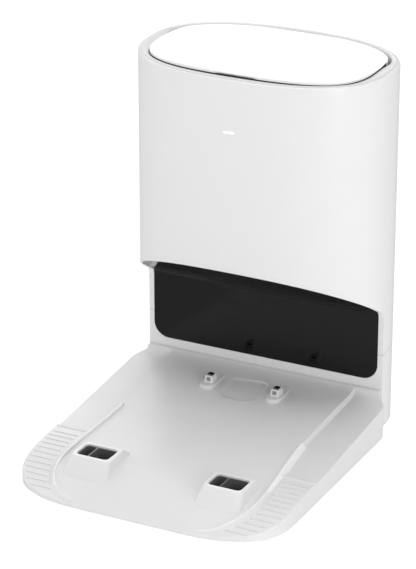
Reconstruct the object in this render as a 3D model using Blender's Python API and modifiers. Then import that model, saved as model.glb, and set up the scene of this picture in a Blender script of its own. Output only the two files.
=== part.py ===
"""Self-emptying base station for a robot vacuum: drive-on tray, tower with dust bag bay and lid.

Metres, +Z up.  The robot drives in along +Y, so the tray's front edge faces -Y.
"""
import math

import bmesh
import bpy
from mathutils import Matrix
from mathutils import Vector

for old in list(bpy.data.objects):
    bpy.data.objects.remove(old, do_unlink=True)

# ---------------------------------------------------------------- driving dimensions
GAP = 0.0003
WALL = 0.0025
FLOOR_CLEAR = 0.0015

TRAY_HALF_W = 0.1535
TRAY_FRONT_Y = -0.2058
TRAY_REAR_Y = 0.1077
TRAY_LIP_Z = 0.0478
CORNER_A = 0.100
CORNER_B = 0.075
CORNER_POWER = 2.6

TOWER_HALF_W = 0.1425
TOWER_HALF_D = 0.0933
TOWER_Y = 0.1125
OVAL_POWER = 2.4
CREST_Z = 0.4096
CREST_R = 0.0054
CREST_FALL = 0.0026
CORE_TOP_Z = 0.3946
SHOULDER_IN = 0.0103
HOUSING_SPLIT_Z = 0.0890

RECESS_Y = 0.1080
RECESS_TOP_Z = 0.1380
CEILING_SLOPE = 0.608
RECESS_FILLET = 0.007
PANEL_HALF_W = 0.1364
PANEL_BOTTOM_Z = 0.0577
PANEL_CORNER_R = 0.018

PLATFORM_HALF_W = 0.1123
VENT_X = 0.0770
VENT_Y = -0.1322
VENT_W = 0.0375
VENT_D = 0.0255
HOOD_Z = 0.0302

CONTACT_X = 0.0400
CONTACT_Y = 0.0582
CONTACT_TOP_Z = 0.0506
SLEEVE_TOP_Z = 0.0495
PAD_Z = 0.0424

LID_INSET = 0.0112
LID_TOP_Z = 0.4096
HINGE_X = 0.0290
HINGE_Y = 0.1880
HINGE_Z = 0.4055
PIN_R = 0.0010

PORT_Y = 0.1350
PORT_Z = 0.3150
PORT_R = 0.0185

FAN_X = 0.0400
FAN_Y = 0.1500

RIB_PITCH = 0.0083
RIB_COUNT = 12

# heights along Y of the two running surfaces: centre platform and wheel ramp with parking track
PLATFORM_LINE = [(-0.2058, 0.0045), (-0.196, 0.0068), (-0.185, 0.0098), (-0.165, 0.0145),
                 (-0.145, 0.0183), (-0.125, 0.0208), (-0.084, 0.0250), (-0.018, 0.0315),
                 (0.060, 0.0400), (0.096, 0.0445), (0.1040, 0.0478)]
RAMP_LINE = [(-0.2058, 0.0045), (-0.196, 0.0062), (-0.185, 0.0087), (-0.165, 0.0135),
             (-0.145, 0.0181), (-0.125, 0.0216), (-0.105, 0.0237), (-0.084, 0.0248)]
TRACK_LINE = [(-0.0835, 0.0222), (0.078, 0.0366), (0.096, 0.0388), (0.1022, 0.0432), (0.1040, 0.0478)]
# centre line of the guide rail beside the platform, from the middle of the tray to the front
RAIL_PATH = [(0.1070, -0.0187), (0.1080, -0.040), (0.1105, -0.072), (0.1135, -0.105),
             (0.1145, -0.134), (0.1125, -0.155), (0.1070, -0.171), (0.0980, -0.184),
             (0.0860, -0.1925), (0.0700, -0.1975)]

dock = bpy.data.collections.new("robot_vacuum_dock")
bpy.context.scene.collection.children.link(dock)
cutters = bpy.data.collections.new("cutters")
bpy.context.scene.collection.children.link(cutters)


# ---------------------------------------------------------------- helpers
def paint(name, colour, rough, metal=0.0):
    mat = bpy.data.materials.new(name)
    mat.use_nodes = True
    shader = mat.node_tree.nodes["Principled BSDF"]
    shader.inputs["Base Color"].default_value = (*colour, 1.0)
    shader.inputs["Roughness"].default_value = rough
    shader.inputs["Metallic"].default_value = metal
    return mat


def add_mesh(name, bm, coll=None, mat=None):
    bmesh.ops.recalc_face_normals(bm, faces=bm.faces[:])
    mesh = bpy.data.meshes.new(name)
    bm.to_mesh(mesh)
    bm.free()
    obj = bpy.data.objects.new(name, mesh)
    (coll or dock).objects.link(obj)
    if mat:
        mesh.materials.append(mat)
    if coll is cutters:
        obj.hide_render = True
        obj.display_type = "WIRE"
    return obj


def cut(obj, tool, how="DIFFERENCE"):
    mod = obj.modifiers.new(how.lower(), "BOOLEAN")
    mod.operation = how
    mod.object = tool
    mod.solver = "EXACT"
    return obj


def box_bm(low, high):
    bm = bmesh.new()
    bmesh.ops.create_cube(bm, size=1.0)
    size = [high[i] - low[i] for i in range(3)]
    mid = [(high[i] + low[i]) / 2 for i in range(3)]
    bmesh.ops.scale(bm, vec=Vector(size), verts=bm.verts)
    bmesh.ops.translate(bm, vec=Vector(mid), verts=bm.verts)
    return bm


def box(name, low, high, coll=None, mat=None, bevel=0.0):
    obj = add_mesh(name, box_bm(low, high), coll, mat)
    if bevel:
        mod = obj.modifiers.new("edge", "BEVEL")
        mod.width = bevel
        mod.segments = 2
        mod.limit_method = "ANGLE"
    return obj


def tool_box(name, low, high):
    return box(name, low, high, coll=cutters)


def prism_bm(outline, low, high):
    """Vertical prism over an (x, y) outline."""
    bm = bmesh.new()
    verts = [bm.verts.new((x, y, low)) for x, y in outline]
    face = bm.faces.new(verts)
    out = bmesh.ops.extrude_face_region(bm, geom=[face])
    moved = [g for g in out["geom"] if isinstance(g, bmesh.types.BMVert)]
    bmesh.ops.translate(bm, vec=Vector((0, 0, high - low)), verts=moved)
    return bm


def prism(name, outline, low, high, coll=None, mat=None):
    return add_mesh(name, prism_bm(outline, low, high), coll, mat)


def profile_bm(points, half):
    """Prism along X over a (y, z) profile."""
    bm = bmesh.new()
    verts = [bm.verts.new((-half, y, z)) for y, z in points]
    face = bm.faces.new(verts)
    out = bmesh.ops.extrude_face_region(bm, geom=[face])
    moved = [g for g in out["geom"] if isinstance(g, bmesh.types.BMVert)]
    bmesh.ops.translate(bm, vec=Vector((2 * half, 0, 0)), verts=moved)
    return bm


def profile(name, points, half, coll=None, mat=None):
    return add_mesh(name, profile_bm(points, half), coll, mat)


def rod_bm(radius, depth, centre, axis="Z", sides=24):
    bm = bmesh.new()
    bmesh.ops.create_cone(bm, cap_ends=True, segments=sides, radius1=radius, radius2=radius, depth=depth)
    if axis == "X":
        bmesh.ops.rotate(bm, verts=bm.verts, matrix=Matrix.Rotation(math.pi / 2, 3, "Y"))
    if axis == "Y":
        bmesh.ops.rotate(bm, verts=bm.verts, matrix=Matrix.Rotation(math.pi / 2, 3, "X"))
    bmesh.ops.translate(bm, vec=Vector(centre), verts=bm.verts)
    return bm


def rod(name, radius, depth, centre, axis="Z", sides=24, coll=None, mat=None):
    return add_mesh(name, rod_bm(radius, depth, centre, axis, sides), coll, mat)


def rounded(cx, cy, half_x, half_y, radii, steps=5):
    """Rounded rectangle; radii run from the front right corner anticlockwise."""
    corners = [(1, -1), (1, 1), (-1, 1), (-1, -1)]
    start = [-90, 0, 90, 180]
    pts = []
    for (sx, sy), a0, r in zip(corners, start, radii):
        ox = cx + sx * (half_x - r)
        oy = cy + sy * (half_y - r)
        for k in range(steps + 1):
            a = math.radians(a0 + 90 * k / steps)
            pts.append((ox + r * math.cos(a), oy + r * math.sin(a)))
    return pts


def oval(inset=0.0, count=72):
    """Tower plan: a superellipse, moved inwards along its normal."""
    pts = []
    for k in range(count):
        a = 2 * math.pi * (k + 0.5) / count
        c = math.cos(a)
        s = math.sin(a)
        x = TOWER_HALF_W * math.copysign(abs(c) ** (2 / OVAL_POWER), c)
        y = TOWER_HALF_D * math.copysign(abs(s) ** (2 / OVAL_POWER), s)
        nx = math.copysign(abs(x / TOWER_HALF_W) ** (OVAL_POWER - 1), c) / TOWER_HALF_W
        ny = math.copysign(abs(y / TOWER_HALF_D) ** (OVAL_POWER - 1), s) / TOWER_HALF_D
        size = math.hypot(nx, ny)
        pts.append((x - inset * nx / size, TOWER_Y + y - inset * ny / size))
    return pts


def stack_bm(rings):
    """Solid skinned over (inset, z) rings of the tower plan, capped at both ends."""
    bm = bmesh.new()
    loops = []
    for inset, z in rings:
        loops.append([bm.verts.new((x, y, z)) for x, y in oval(inset)])
    count = len(loops[0])
    for low, high in zip(loops, loops[1:]):
        for k in range(count):
            n = (k + 1) % count
            bm.faces.new((low[k], low[n], high[n], high[k]))
    bm.faces.new(loops[0])
    bm.faces.new(loops[-1])
    return bm


def stack(name, rings, coll=None, mat=None):
    return add_mesh(name, stack_bm(rings), coll, mat)


def tool_oval(name, inset, low, high):
    return stack(name, [(inset, low), (inset, high)], coll=cutters)


def line_at(line, y):
    if y <= line[0][0]:
        return line[0][1]
    for (y0, z0), (y1, z1) in zip(line, line[1:]):
        if y <= y1:
            return z0 + (z1 - z0) * (y - y0) / (y1 - y0)
    return line[-1][1]


def under(line, drop, base, front=None, rear=None):
    """Closed (y, z) profile below a surface line."""
    pts = [(y, z - drop) for y, z in line]
    if front is not None:
        pts = [(front, line_at(line, front) - drop)] + [p for p in pts if p[0] > front + 1e-6]
    if rear is not None:
        pts = [p for p in pts if p[0] < rear - 1e-6] + [(rear, line_at(line, rear) - drop)]
    return pts + [(pts[-1][0], base), (pts[0][0], base)]


def tray_outline(inset=0.0, steps=14):
    """Tray plan: straight sides, full rounded front corners, rear corners drawn in to the tower."""
    a = CORNER_A - inset
    b = CORNER_B - inset
    cx = TRAY_HALF_W - CORNER_A
    cy = TRAY_FRONT_Y + CORNER_B
    right = []
    for k in range(steps + 1):
        t = math.pi / 2 * k / steps
        s = math.sin(t) ** (2 / CORNER_POWER)
        c = math.cos(t) ** (2 / CORNER_POWER)
        right.append((cx + a * s, cy - b * c))
    rear_r = 0.020
    for k in range(7):
        t = math.radians(62 * k / 6)
        r = rear_r - inset
        right.append((TRAY_HALF_W - rear_r + r * math.cos(t), 0.0835 + r * math.sin(t)))
    right.append((0.1413 - inset, TRAY_REAR_Y - inset))
    left = [(-x, y) for x, y in reversed(right)]
    return right + left


def recess_line(grow):
    """Back wall and sloped ceiling of the robot bay, pushed outwards by grow."""
    lean = math.atan(CEILING_SLOPE)
    wall_y = RECESS_Y + grow
    top = RECESS_TOP_Z + grow * (1 / math.cos(lean) + CEILING_SLOPE)
    turn = math.pi / 2 - lean
    setback = RECESS_FILLET * math.tan(turn / 2)
    cy = RECESS_Y - RECESS_FILLET
    cz = RECESS_TOP_Z - setback
    pts = []
    steps = 4
    radius = RECESS_FILLET + grow
    for k in range(steps + 1):
        t = turn * k / steps
        pts.append((cy + radius * math.cos(t), cz + radius * math.sin(t)))
    far = -0.06
    pts.append((far, top + (wall_y - far) * CEILING_SLOPE))
    return [(wall_y, -0.05)] + pts


def recess_tool(name, grow, half):
    line = recess_line(grow)
    pts = line + [(-0.30, line[-1][1]), (-0.30, -0.05)]
    return profile(name, pts, half, coll=cutters)


def panel_front(name, shrink):
    """Front view outline of the dark panel, as a long prism along Y."""
    half = PANEL_HALF_W - shrink
    low = PANEL_BOTTOM_Z + shrink
    r = PANEL_CORNER_R - shrink
    pts = rounded(0.0, (low + 0.30) / 2, half, (0.30 - low) / 2, [r, 0.002, 0.002, r])
    bm = prism_bm(pts, -0.10, 0.10)
    bmesh.ops.rotate(bm, verts=bm.verts, matrix=Matrix.Rotation(math.pi / 2, 3, "X"))
    bmesh.ops.translate(bm, vec=Vector((0, 0.08, 0)), verts=bm.verts)
    return add_mesh(name, bm, cutters)


white = paint("dock_white_plastic", (0.86, 0.86, 0.86), 0.38)
white_gloss = paint("lid_white_plastic", (0.90, 0.90, 0.90), 0.22)
black = paint("dark_gloss_panel", (0.016, 0.016, 0.018), 0.10)
grey = paint("inner_grey_plastic", (0.30, 0.31, 0.32), 0.50)
dark = paint("duct_dark_plastic", (0.06, 0.06, 0.065), 0.48)
rubber = paint("soft_rubber", (0.05, 0.05, 0.05), 0.85)
steel = paint("plated_steel", (0.62, 0.62, 0.60), 0.30, 1.0)
copper = paint("contact_metal", (0.22, 0.21, 0.20), 0.35, 1.0)
board = paint("circuit_board_green", (0.03, 0.16, 0.07), 0.45)
paper = paint("bag_paper", (0.80, 0.77, 0.70), 0.90)
collar_blue = paint("bag_collar_card", (0.62, 0.66, 0.70), 0.70)
foam = paint("filter_fleece", (0.75, 0.76, 0.78), 0.95)
lens = paint("light_lens", (0.95, 0.97, 1.0), 0.25)

# ---------------------------------------------------------------- shared cutting shapes
tool_recess = recess_tool("tool_recess", 0.0, 0.25)
tool_recess_thick = recess_tool("tool_recess_thick", WALL, 0.25)
tool_core = tool_oval("tool_core", WALL, -0.02, CORE_TOP_Z)
cut(tool_core, tool_recess_thick)
tool_window = recess_tool("tool_window", WALL + 0.0015, 0.25)
cut(tool_window, panel_front("tool_window_front", 0.0), "INTERSECT")
cut(tool_window, tool_oval("tool_window_plan", WALL, -0.02, 0.30), "INTERSECT")
tool_rear = tool_box("tool_rear", (-0.105, 0.165, 0.075), (0.105, 0.260, 0.372))

# ---------------------------------------------------------------- base tray
tray = prism("base_tray", tray_outline(), FLOOR_CLEAR, 0.090, mat=white)
ramp_all = RAMP_LINE + TRACK_LINE
ramp_all = [(-0.23, RAMP_LINE[0][1])] + ramp_all + [(0.130, TRAY_LIP_Z)]
cut(tray, profile("tool_ramp", under(ramp_all, 0.0, -0.02), 0.20, cutters), "INTERSECT")


def platform_outline(grow):
    """Plan of the raised centre platform, widened by grow."""
    side = [(PLATFORM_HALF_W + grow, 0.1300), (PLATFORM_HALF_W - 0.003 + grow, 0.020)]
    side += [(x + grow * 0.8, y - grow * 0.3) for x, y in RAIL_PATH]
    side += [(0.030, TRAY_FRONT_Y + 0.0072 - grow * 0.5)]
    other = [(-x, y) for x, y in reversed(side)]
    return side + other


plat_line = [(-0.23, PLATFORM_LINE[0][1])] + PLATFORM_LINE + [(0.130, TRAY_LIP_Z)]
platform = profile("tool_platform", under(plat_line, 0.0, 0.003), 0.20, cutters)
cut(platform, prism("tool_platform_plan", platform_outline(0.0009), -0.01, 0.10, cutters), "INTERSECT")
cut(platform, prism("tool_platform_edge", tray_outline(0.0004), -0.01, 0.10, cutters), "INTERSECT")
cut(tray, platform, "UNION")


def rail_solid(name, sign):
    """Low guide rail with a sloped outer face, following the rail path."""
    bm = bmesh.new()
    rows = []
    count = len(RAIL_PATH)
    for k, (x, y) in enumerate(RAIL_PATH):
        a = RAIL_PATH[max(k - 1, 0)]
        b = RAIL_PATH[min(k + 1, count - 1)]
        ty = b[1] - a[1]
        tx = b[0] - a[0]
        size = math.hypot(tx, ty)
        nx = -ty / size
        ny = tx / size
        rise = 0.0023
        if k == 0:
            rise = 0.0006
        if k > count - 4:
            rise = 0.0023 * (count - k) / 4
        z = line_at(PLATFORM_LINE, y)
        row = []
        for off, dz in ((-0.0016, -0.004), (-0.0012, rise - 0.0008), (-0.0002, rise), (0.0008, rise),
                        (0.0052, -0.0022), (0.0052, -0.004)):
            row.append(bm.verts.new((sign * (x + nx * off), y + ny * off, z + dz)))
        rows.append(row)
    for r0, r1 in zip(rows, rows[1:]):
        for k in range(6):
            n = (k + 1) % 6
            bm.faces.new((r0[k], r0[n], r1[n], r1[k]))
    bm.faces.new(rows[0])
    bm.faces.new(rows[-1])
    bmesh.ops.triangulate(bm, faces=bm.faces[:])
    return add_mesh(name, bm, cutters)


def edge_x(y, inset):
    """Half width of the tray at y."""
    cy = TRAY_FRONT_Y + CORNER_B
    if y >= cy:
        return TRAY_HALF_W - inset
    v = min((cy - y) / (CORNER_B - inset), 1.0)
    return TRAY_HALF_W - CORNER_A + (CORNER_A - inset) * (1 - v ** CORNER_POWER) ** (1 / CORNER_POWER)


def rail_x(y):
    pts = sorted(RAIL_PATH, key=lambda p: p[1])
    if y <= pts[0][1]:
        return pts[0][0]
    for (x0, y0), (x1, y1) in zip(pts, pts[1:]):
        if y <= y1:
            return x0 + (x1 - x0) * (y - y0) / (y1 - y0)
    return pts[-1][0]


for sign, side in ((-1, "l"), (1, "r")):
    cut(tray, rail_solid("tool_rail_" + side, sign), "UNION")
    hood = bmesh.new()
    base = rounded(sign * VENT_X, -0.1360, 0.0262, 0.0315, [0.012, 0.005, 0.005, 0.012], 3)
    crown = rounded(sign * VENT_X, VENT_Y + 0.0008, 0.0230, 0.0172, [0.007, 0.005, 0.005, 0.007], 3)
    low = [hood.verts.new((x, y, line_at(PLATFORM_LINE, y) - 0.0012)) for x, y in base]
    high = [hood.verts.new((x, y, HOOD_Z)) for x, y in crown]
    deep = [hood.verts.new((x, y, line_at(PLATFORM_LINE, y) - 0.0022)) for x, y in base]
    for k in range(len(base)):
        n = (k + 1) % len(base)
        hood.faces.new((low[k], low[n], high[n], high[k]))
        hood.faces.new((deep[k], deep[n], low[n], low[k]))
    hood.faces.new(high)
    bottom = hood.faces.new(deep)
    bmesh.ops.triangulate(hood, faces=[bottom])
    cut(tray, add_mesh("tool_hood_" + side, hood, cutters), "UNION")
    pad = rounded(sign * CONTACT_X, 0.0615, 0.0085, 0.0185, [0.008, 0.002, 0.002, 0.008], 4)
    cut(tray, prism("tool_pad_" + side, pad, 0.038, PAD_Z, cutters), "UNION")
    ribs = bmesh.new()
    for k in range(RIB_COUNT + 1):
        y = -0.0975 - RIB_PITCH * k
        wide = 0.0011
        x0 = rail_x(y) + 0.0068
        x1 = edge_x(y, 0.0036)
        rise = 0.0008
        if k == RIB_COUNT:
            y = -0.0850
            wide = 0.0021
            x0 = 0.1165
            x1 = TRAY_HALF_W - 0.0009
            rise = 0.0010
        if x1 - x0 < 0.006:
            continue
        z = line_at(RAMP_LINE, y)
        piece = box_bm((x0, y - wide / 2, z - 0.0015), (x1, y + wide / 2, z + rise))
        temp = bpy.data.meshes.new("rib")
        piece.to_mesh(temp)
        piece.free()
        ribs.from_mesh(temp)
        bpy.data.meshes.remove(temp)
    if sign < 0:
        bmesh.ops.scale(ribs, vec=Vector((-1, 1, 1)), verts=ribs.verts)
    cut(tray, add_mesh("tool_ribs_" + side, ribs, cutters), "UNION")

pocket = rounded(-0.0005, 0.0575, 0.0232, 0.0235, [0.014, 0.008, 0.008, 0.014], 4)
pocket_bm = prism_bm(pocket, 0.030, 0.060)
for v in pocket_bm.verts:
    if v.co.z < 0.045:
        v.co.z = line_at(PLATFORM_LINE, v.co.y) - 0.0014
cut(tray, add_mesh("tool_pocket", pocket_bm, cutters))

# underside hollow below each surface, clear of the thin front edge
hollow_front = -0.176
hollow_plan = prism("tool_hollow_plan", tray_outline(0.0027), -0.05, 0.10, cutters)
track_all = [(-0.23, 0.0)] + RAMP_LINE[:-1] + [(-0.084, 0.0222)] + TRACK_LINE[1:3] + [(0.1052, 0.0398)]
hollow_a = profile("tool_hollow_a", under(track_all, 0.0026, -0.02, hollow_front, 0.1052), 0.20, cutters)
cut(hollow_a, hollow_plan, "INTERSECT")
cut(tray, hollow_a)
plat_hollow = PLATFORM_LINE[:-2] + [(0.1052, 0.0452)]
hollow_b = profile("tool_hollow_b", under(plat_hollow, 0.0026, -0.02, hollow_front, 0.1052), 0.1040, cutters)
cut(tray, hollow_b)
cut(tray, tool_box("tool_tray_rear_mouth", (-0.1250, 0.100, -0.02), (-0.0890, 0.120, 0.0180)))
cut(tray, tool_box("tool_tray_plate_pass", (-0.1305, 0.100, -0.03), (0.1305, 0.125, 0.0048)))

BOSSES = [(-0.1300, -0.0600), (0.1300, -0.0600), (-0.1360, 0.0700), (0.1360, 0.0700)]
for k, (bx, by) in enumerate(BOSSES):
    top = line_at(TRACK_LINE, by) - 0.0012
    post = rod("tool_boss_%d" % k, 0.0036, top - 0.0048, (bx, by, (top + 0.0048) / 2), sides=14, coll=cutters)
    cut(tray, post, "UNION")
    cut(tray, rod("tool_boss_bore_%d" % k, 0.0016, 0.0160, (bx, by, 0.0088), sides=12, coll=cutters))

for sign, side in ((-1, "l"), (1, "r")):
    hole = rounded(sign * VENT_X, VENT_Y, VENT_W / 2, VENT_D / 2, [0.005, 0.004, 0.004, 0.005], 4)
    cut(tray, prism("tool_vent_" + side, hole, -0.02, 0.06, cutters))
    x = sign * CONTACT_X
    sleeve = bmesh.new()
    bmesh.ops.create_cube(sleeve, size=1.0)
    for v in sleeve.verts:
        top = v.co.z > 0
        v.co.x = x + math.copysign(0.0042 if top else 0.0054, v.co.x)
        v.co.y = CONTACT_Y + math.copysign(0.0049 if top else 0.0064, v.co.y)
        v.co.z = SLEEVE_TOP_Z if top else 0.0400
    cut(tray, add_mesh("tool_sleeve_" + side, sleeve, cutters), "UNION")
    cut(tray, tool_box("tool_contact_" + side, (x - 0.0031, CONTACT_Y - 0.0038, 0.020),
                       (x + 0.0031, CONTACT_Y + 0.0038, 0.060)))
    cut(tray, tool_box("tool_contact_window_" + side, (x - 0.0020, CONTACT_Y - 0.0100, 0.0442),
                       (x + 0.0020, CONTACT_Y, 0.0478)))

# ---------------------------------------------------------------- bottom plate, feet, screws
plate_points = [(x, y) for x, y in tray_outline(0.0031) if -0.1730 < y < 0.0980]
plate_right = sorted([p for p in plate_points if p[0] > 0.02], key=lambda p: p[1])
plate_right = [(edge_x(-0.1752, 0.0031), -0.1752)] + plate_right
plate_left = [(-x, y) for x, y in reversed(plate_right)]
bottom = prism("bottom_plate", plate_right + plate_left, 0.0023, 0.0043, mat=grey)
cut(bottom, tool_box("tool_plate_neck", (-0.1300, 0.060, 0.0023), (0.1300, 0.115, 0.0043)), "UNION")
plate_rear = tool_oval("tool_plate_rear", 0.0031, 0.0023, 0.0043)
cut(plate_rear, tool_box("tool_plate_rear_half", (-0.20, 0.1112, -0.01), (0.20, 0.25, 0.02)), "INTERSECT")
cut(bottom, plate_rear, "UNION")
for k, (bx, by) in enumerate(BOSSES):
    cut(bottom, rod("tool_plate_hole_%d" % k, 0.0018, 0.01, (bx, by, 0.003), sides=12, coll=cutters))

FEET = [(-0.118, -0.150), (0.118, -0.150), (-0.138, 0.010), (0.138, 0.010), (-0.095, 0.168), (0.095, 0.168)]
for k, (fx, fy) in enumerate(FEET):
    foot = rod("rubber_foot_%d" % (k + 1), 0.0080, 0.0020, (fx, fy, 0.0010), sides=24, mat=rubber)
    mod = foot.modifiers.new("edge", "BEVEL")
    mod.width = 0.0005
    mod.segments = 1
    mod.limit_method = "ANGLE"


def screw(name, centre, axis, shank, mat):
    """Pan head screw with a straight slot; the head faces -Z or +Y."""
    head = 0.0013
    if axis == "Z":
        body = rod(name, 0.0028, head, (centre[0], centre[1], centre[2] + head / 2), sides=16, mat=mat)
        stem = rod("tool_stem_" + name, 0.0012, shank, (centre[0], centre[1],
                                                        centre[2] + head + shank / 2 - 0.0002),
                   sides=10, coll=cutters)
        slot = tool_box("tool_slot_" + name, (centre[0] - 0.0020, centre[1] - 0.0004, centre[2] - 0.001),
                        (centre[0] + 0.0020, centre[1] + 0.0004, centre[2] + 0.0006))
    else:
        body = rod(name, 0.0028, head, (centre[0], centre[1] - head / 2, centre[2]), "Y", 16, mat=mat)
        stem = rod("tool_stem_" + name, 0.0012, shank, (centre[0], centre[1] - head - shank / 2 + 0.0002,
                                                        centre[2]),
                   "Y", 10, cutters)
        slot = tool_box("tool_slot_" + name, (centre[0] - 0.0020, centre[1] - 0.0006, centre[2] - 0.0004),
                        (centre[0] + 0.0020, centre[1] + 0.001, centre[2] + 0.0004))
    cut(body, stem, "UNION")
    cut(body, slot)
    return body


for k, (bx, by) in enumerate(BOSSES):
    screw("bottom_screw_%d" % (k + 1), (bx, by, 0.0007), "Z", 0.0100, steel)

# ---------------------------------------------------------------- tower housings
lower = stack("lower_housing", [(0.0008, FLOOR_CLEAR), (0.0, FLOOR_CLEAR + 0.0010),
                                (0.0, HOUSING_SPLIT_Z - GAP)], mat=white)
cut(lower, tool_core)
cut(lower, tool_recess)
cut(lower, tool_window)
cut(lower, tool_rear)
cut(lower, tool_box("tool_lower_mouth", (-0.1250, 0.100, -0.02), (-0.0890, 0.120, 0.0180)))
cut(lower, tool_box("tool_plate_pass", (-0.1305, 0.100, -0.02), (0.1305, 0.120, 0.0048)))
cut(lower, tool_box("tool_inlet_hole", (0.0385, 0.165, 0.0245), (0.0615, 0.260, 0.0475)))

arc = []
for k in range(7):
    t = math.pi / 2 * k / 6
    arc.append((CREST_R * (1 - math.cos(t)), CREST_Z - CREST_R * (1 - math.sin(t))))
# the rim falls from its crest to the gap round the lid
arc.append((CREST_R + 0.0004, CREST_Z))
arc.append((SHOULDER_IN + 0.0010, CREST_Z - CREST_FALL * 1.20))
upper = stack("upper_housing", [(0.0, HOUSING_SPLIT_Z)] + arc, mat=white)
cut(upper, tool_core)
cut(upper, tool_oval("tool_well", SHOULDER_IN, 0.3866, 0.4266))
well_rear = tool_oval("tool_well_rear", 0.0086, 0.3876, 0.4266)
cut(well_rear, tool_box("tool_well_rear_half", (-0.20, 0.150, 0.30), (0.20, 0.25, 0.50)), "INTERSECT")
cut(upper, well_rear)
cut(upper, tool_recess)
cut(upper, tool_window)
cut(upper, tool_rear)
cut(upper, tool_box("tool_light_slot", (-0.0062, -0.02, 0.3475), (0.0062, 0.040, 0.3499)))
COVER_SCREWS = [(-0.070, 0.350), (0.070, 0.350)]


def plan_rear_y(x, inset):
    """Rear wall position of the tower plan at x."""
    return TOWER_Y + TOWER_HALF_D * (1 - abs(x / TOWER_HALF_W) ** OVAL_POWER) ** (1 / OVAL_POWER) - inset


for k, (sx, sz) in enumerate(COVER_SCREWS):
    cut(upper, tool_box("tool_tab_top_%d" % k, (sx - 0.004, 0.1870, 0.3730), (sx + 0.004, 0.1958,
                                                                              0.3860)), "UNION")
    cut(upper, tool_box("tool_tab_%d" % k, (sx - 0.004, 0.1870, 0.3440), (sx + 0.004, 0.1940, 0.3745)),
        "UNION")
    cut(upper, rod("tool_tab_bore_%d" % k, 0.0015, 0.0160, (sx, 0.1975, sz), "Y", 12, cutters))

cover = stack("rear_cover", [(0.0, 0.0753), (0.0, 0.3717)], mat=white)
tool_core_plain = tool_oval("tool_core_plain", WALL, -0.02, 0.50)
cut(cover, tool_box("tool_cover", (-0.1047, 0.1653, 0.05), (0.1047, 0.260, 0.40)), "INTERSECT")
cut(cover, tool_core_plain)
cut(cover, tool_box("tool_cover_grille", (0.0085, 0.15, 0.1180), (0.0715, 0.26, 0.1660)))
for k, (sx, sz) in enumerate(COVER_SCREWS):
    sy = plan_rear_y(sx, 0.0)
    cut(cover, rod("tool_cover_hole_%d" % k, 0.0018, 0.02, (sx, sy, sz), "Y", 12, cutters))
    screw("cover_screw_%d" % (k + 1), (sx, sy + 0.0022, sz), "Y", 0.0075, steel)

grille = stack("exhaust_grille", [(0.0003, 0.1183), (0.0003, 0.1657)], mat=grey)
cut(grille, tool_box("tool_grille_side", (0.0088, 0.15, 0.10), (0.0712, 0.26, 0.18)), "INTERSECT")
cut(grille, tool_core_plain)
slots = bmesh.new()
for k in range(7):
    z = 0.1225 + 0.0058 * k
    piece = box_bm((0.0120, 0.15, z), (0.0680, 0.26, z + 0.0030))
    temp = bpy.data.meshes.new("slot")
    piece.to_mesh(temp)
    piece.free()
    slots.from_mesh(temp)
    bpy.data.meshes.remove(temp)
cut(grille, add_mesh("tool_grille_slots", slots, cutters))
box("exhaust_filter", (0.0110, 0.1892, 0.1200), (0.0690, 0.1952, 0.1640), mat=foam, bevel=0.001)

# ---------------------------------------------------------------- dark signal panel
outer_line = recess_line(0.0024)
inner_line = recess_line(0.0004)
band = outer_line + list(reversed(inner_line))
panel = profile("signal_panel", band, 0.20, mat=black)
cut(panel, panel_front("tool_panel_front", GAP), "INTERSECT")
cut(panel, tool_oval("tool_panel_plan", WALL + GAP, -0.02, 0.30), "INTERSECT")
IR_X = (-0.0178, 0.0607)
IR_Z = 0.0700
for k, ix in enumerate(IR_X):
    cut(panel, tool_box("tool_ir_%d" % k, (ix - 0.0021, 0.09, IR_Z - 0.0012), (ix + 0.0021, 0.13,
                                                                               IR_Z + 0.0012)))
    box("ir_emitter_%d" % (k + 1), (ix - 0.0030, 0.1110, IR_Z - 0.0030), (ix + 0.0030, 0.1150, IR_Z + 0.0030),
        mat=dark, bevel=0.0004)
box("ir_board", (-0.030, 0.1153, 0.0620), (0.075, 0.1167, 0.0790), mat=board)

box("status_light", (-0.0059, TOWER_Y - TOWER_HALF_D - 0.0001, 0.3478),
    (0.0059, TOWER_Y - TOWER_HALF_D + 0.0040, 0.3496), mat=lens, bevel=0.0004)
box("light_board", (-0.0120, TOWER_Y - TOWER_HALF_D + 0.0045, 0.3420),
    (0.0120, TOWER_Y - TOWER_HALF_D + 0.0060, 0.3555), mat=board)

# ---------------------------------------------------------------- suction path
for sign, side in ((-1, "left"), (1, "right")):
    hole = rounded(sign * VENT_X, VENT_Y, VENT_W / 2 - GAP, VENT_D / 2 - GAP,
                   [0.0047, 0.0037, 0.0037, 0.0047], 4)
    frame = prism("vent_frame_" + side, hole, 0.0147, 0.0290, mat=dark)
    for part in (0, 1):
        x0 = sign * VENT_X - VENT_W / 2 + 0.0013 + part * 0.0128
        x1 = x0 + (0.0113 if part == 0 else 0.0221)
        mid = ((x0 + x1) / 2, VENT_Y)
        inner = rounded(mid[0], mid[1], (x1 - x0) / 2, VENT_D / 2 - 0.0013, [0.003] * 4, 3)
        cut(frame, prism("tool_frame_%s_%d" % (side, part), inner, 0.0, 0.05, cutters))

DUCT_LOW = 0.0048
DUCT_HIGH = 0.0144
SKIN = 0.0013


def duct(name, outline, inner):
    body = prism(name, outline, DUCT_LOW, DUCT_HIGH, mat=dark)
    cut(body, prism("tool_bore_" + name, inner, DUCT_LOW + SKIN, DUCT_HIGH - SKIN, cutters))
    return body


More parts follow.
